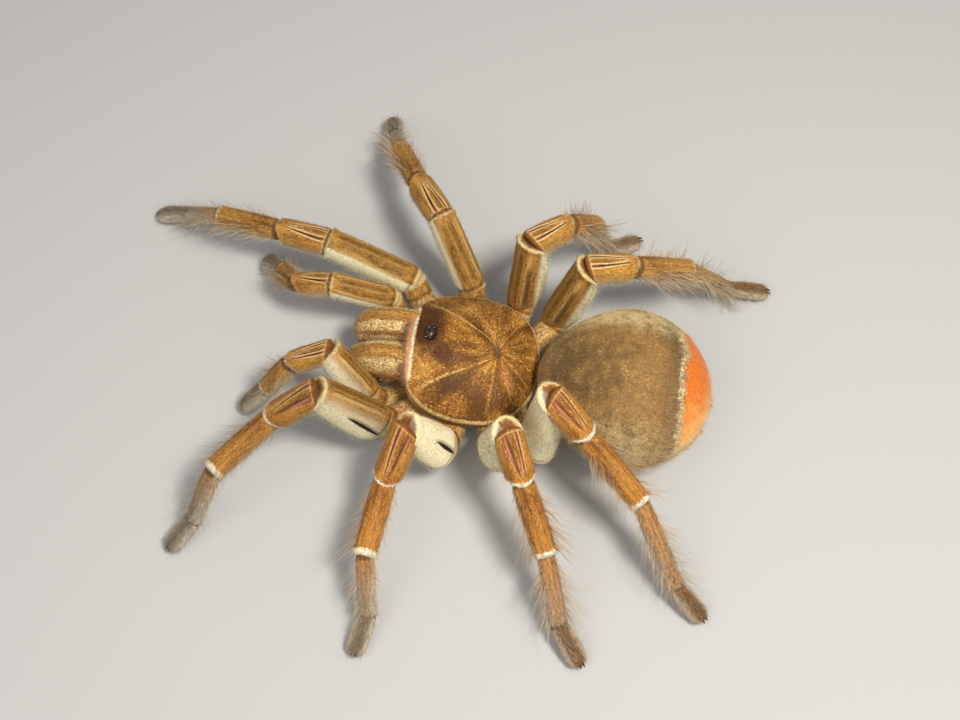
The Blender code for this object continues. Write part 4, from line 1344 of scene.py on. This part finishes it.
# ----------------------------------------------------------------------------------------- sternum
# The plate between the legs' roots, and the narrow stalk behind it that carries the abdomen. Short
# dark velvet covers both from below and at the sides.
KEEL_LENGTH, KEEL_BOTTOM, KEEL_TOP = 33.0, 4.5, 14.7
KEEL_WIDTHS = (8.1, 9.0, 9.0, 7.2, 3.2, 2.8)
KEEL_DEPTHS = (5.5, 5.5, 5.5, 5.1, 2.9, 2.7)
WAIST = (-19.4, 0.5, 11.0)  # fore, left, height of the stalk's end
KEEL_DEPTH = 0.35  # of its coat


def keel_skin(t, turn):
    """A point of the plate and stalk: a blunt tube drawn along the belly, from the jaws to the waist."""
    s = (1 - np.cos(math.pi * t)) / 2
    start = np.array([KEEL_LENGTH / 2, 0.0, (KEEL_BOTTOM + KEEL_TOP) / 2])
    centre = start + (np.array(WAIST) - start) * s[..., None]
    stations = np.linspace(0, 1, len(KEEL_WIDTHS))
    round_end = np.sin(math.pi * t) ** 0.3
    wide, deep = ((np.interp(s, stations, values) - KEEL_DEPTH) * round_end
                  for values in (KEEL_WIDTHS, KEEL_DEPTHS))
    point = place(centre[..., 0], centre[..., 1] + wide * np.sin(turn), centre[..., 2] + deep * np.cos(turn))
    point[..., 2] = np.minimum(point[..., 2], KEEL_TOP)
    return point


def keel_values(t, turn):
    return {"lie": np.stack([np.sin(turn), np.cos(turn), t], -1), "hair": np.zeros(3)}


def keel_markings():
    """Dark brown velvet with lighter hair tips."""
    tree, _ = new_group("keel_markings")
    tip, _, shade = attribute(tree, "hair")
    grain = noise(object_place(tree), 1.2, 3.0, 0.6)
    broad = noise(object_place(tree), 0.2, 2.0)
    colour = blend(grain * 0.6 + broad * 0.4, paint(58, 38, 22), paint(128, 88, 50))
    colour = blend(tip * (0.2 + shade * 0.5), colour, paint(196, 150, 96))
    close_group(tree, colour, 0.65, grain)
    return tree


keel_look = finish_from("keel_velvet", keel_markings())
keel = Piece()
keel.add_grid(keel_skin, keel_values, oblong(), 50, 60)
keel.finish("sternum_skin", keel_look, "underside", "sternum")
rng = np.random.default_rng(37)
keel_coat = Piece()
t = np.arccos(rng.uniform(-0.95, 0.95, 5200)) / math.pi
turn = np.radians(rng.uniform(95, 265, len(t)))
grow(keel_coat, skin_frame(keel_skin, t, turn), keel_values(t, turn), oblong()(t, turned_share(turn)),
     (0.8, 1.6), 0.12, (12, 35), 1, 0.3, 0.3, 0.0, rng)
keel_coat.finish("sternum_coat", keel_look, "underside")

# -------------------------------------------------------------------------------------------- claws
# Each tarsus ends in a pair of small curved claws of black horn, which the brush mostly hides.
CLAW_CURVE = ((0, 0), (1.0, 0.35), (1.9, -0.25), (2.1, -1.1))  # outwards and up from the root
CLAW_RADII, CLAW_LEVEL = (0.32, 0.28, 0.2, 0.08), 0.35
claws = Piece()
for side, kind in LIMB_LOOKS:
    part = parts_of(side, kind)[-1]
    tip = part["start"] + part["way"] * part["length"]
    level_way = unit(part["way"] * (1, 1, 0))
    for aside in (-0.55, 0.55):
        root = tip - level_way * 1.2 + part["across"] * aside + (0, 0, 0.9)
        path = np.array([root + level_way * out + (0, 0, rise) for out, rise in CLAW_CURVE])
        path[:, 2] = np.maximum(path[:, 2], CLAW_LEVEL)
        add_tube(claws, path, CLAW_RADII, 12, 8)
claws.finish("claws", fang_look, "fang")
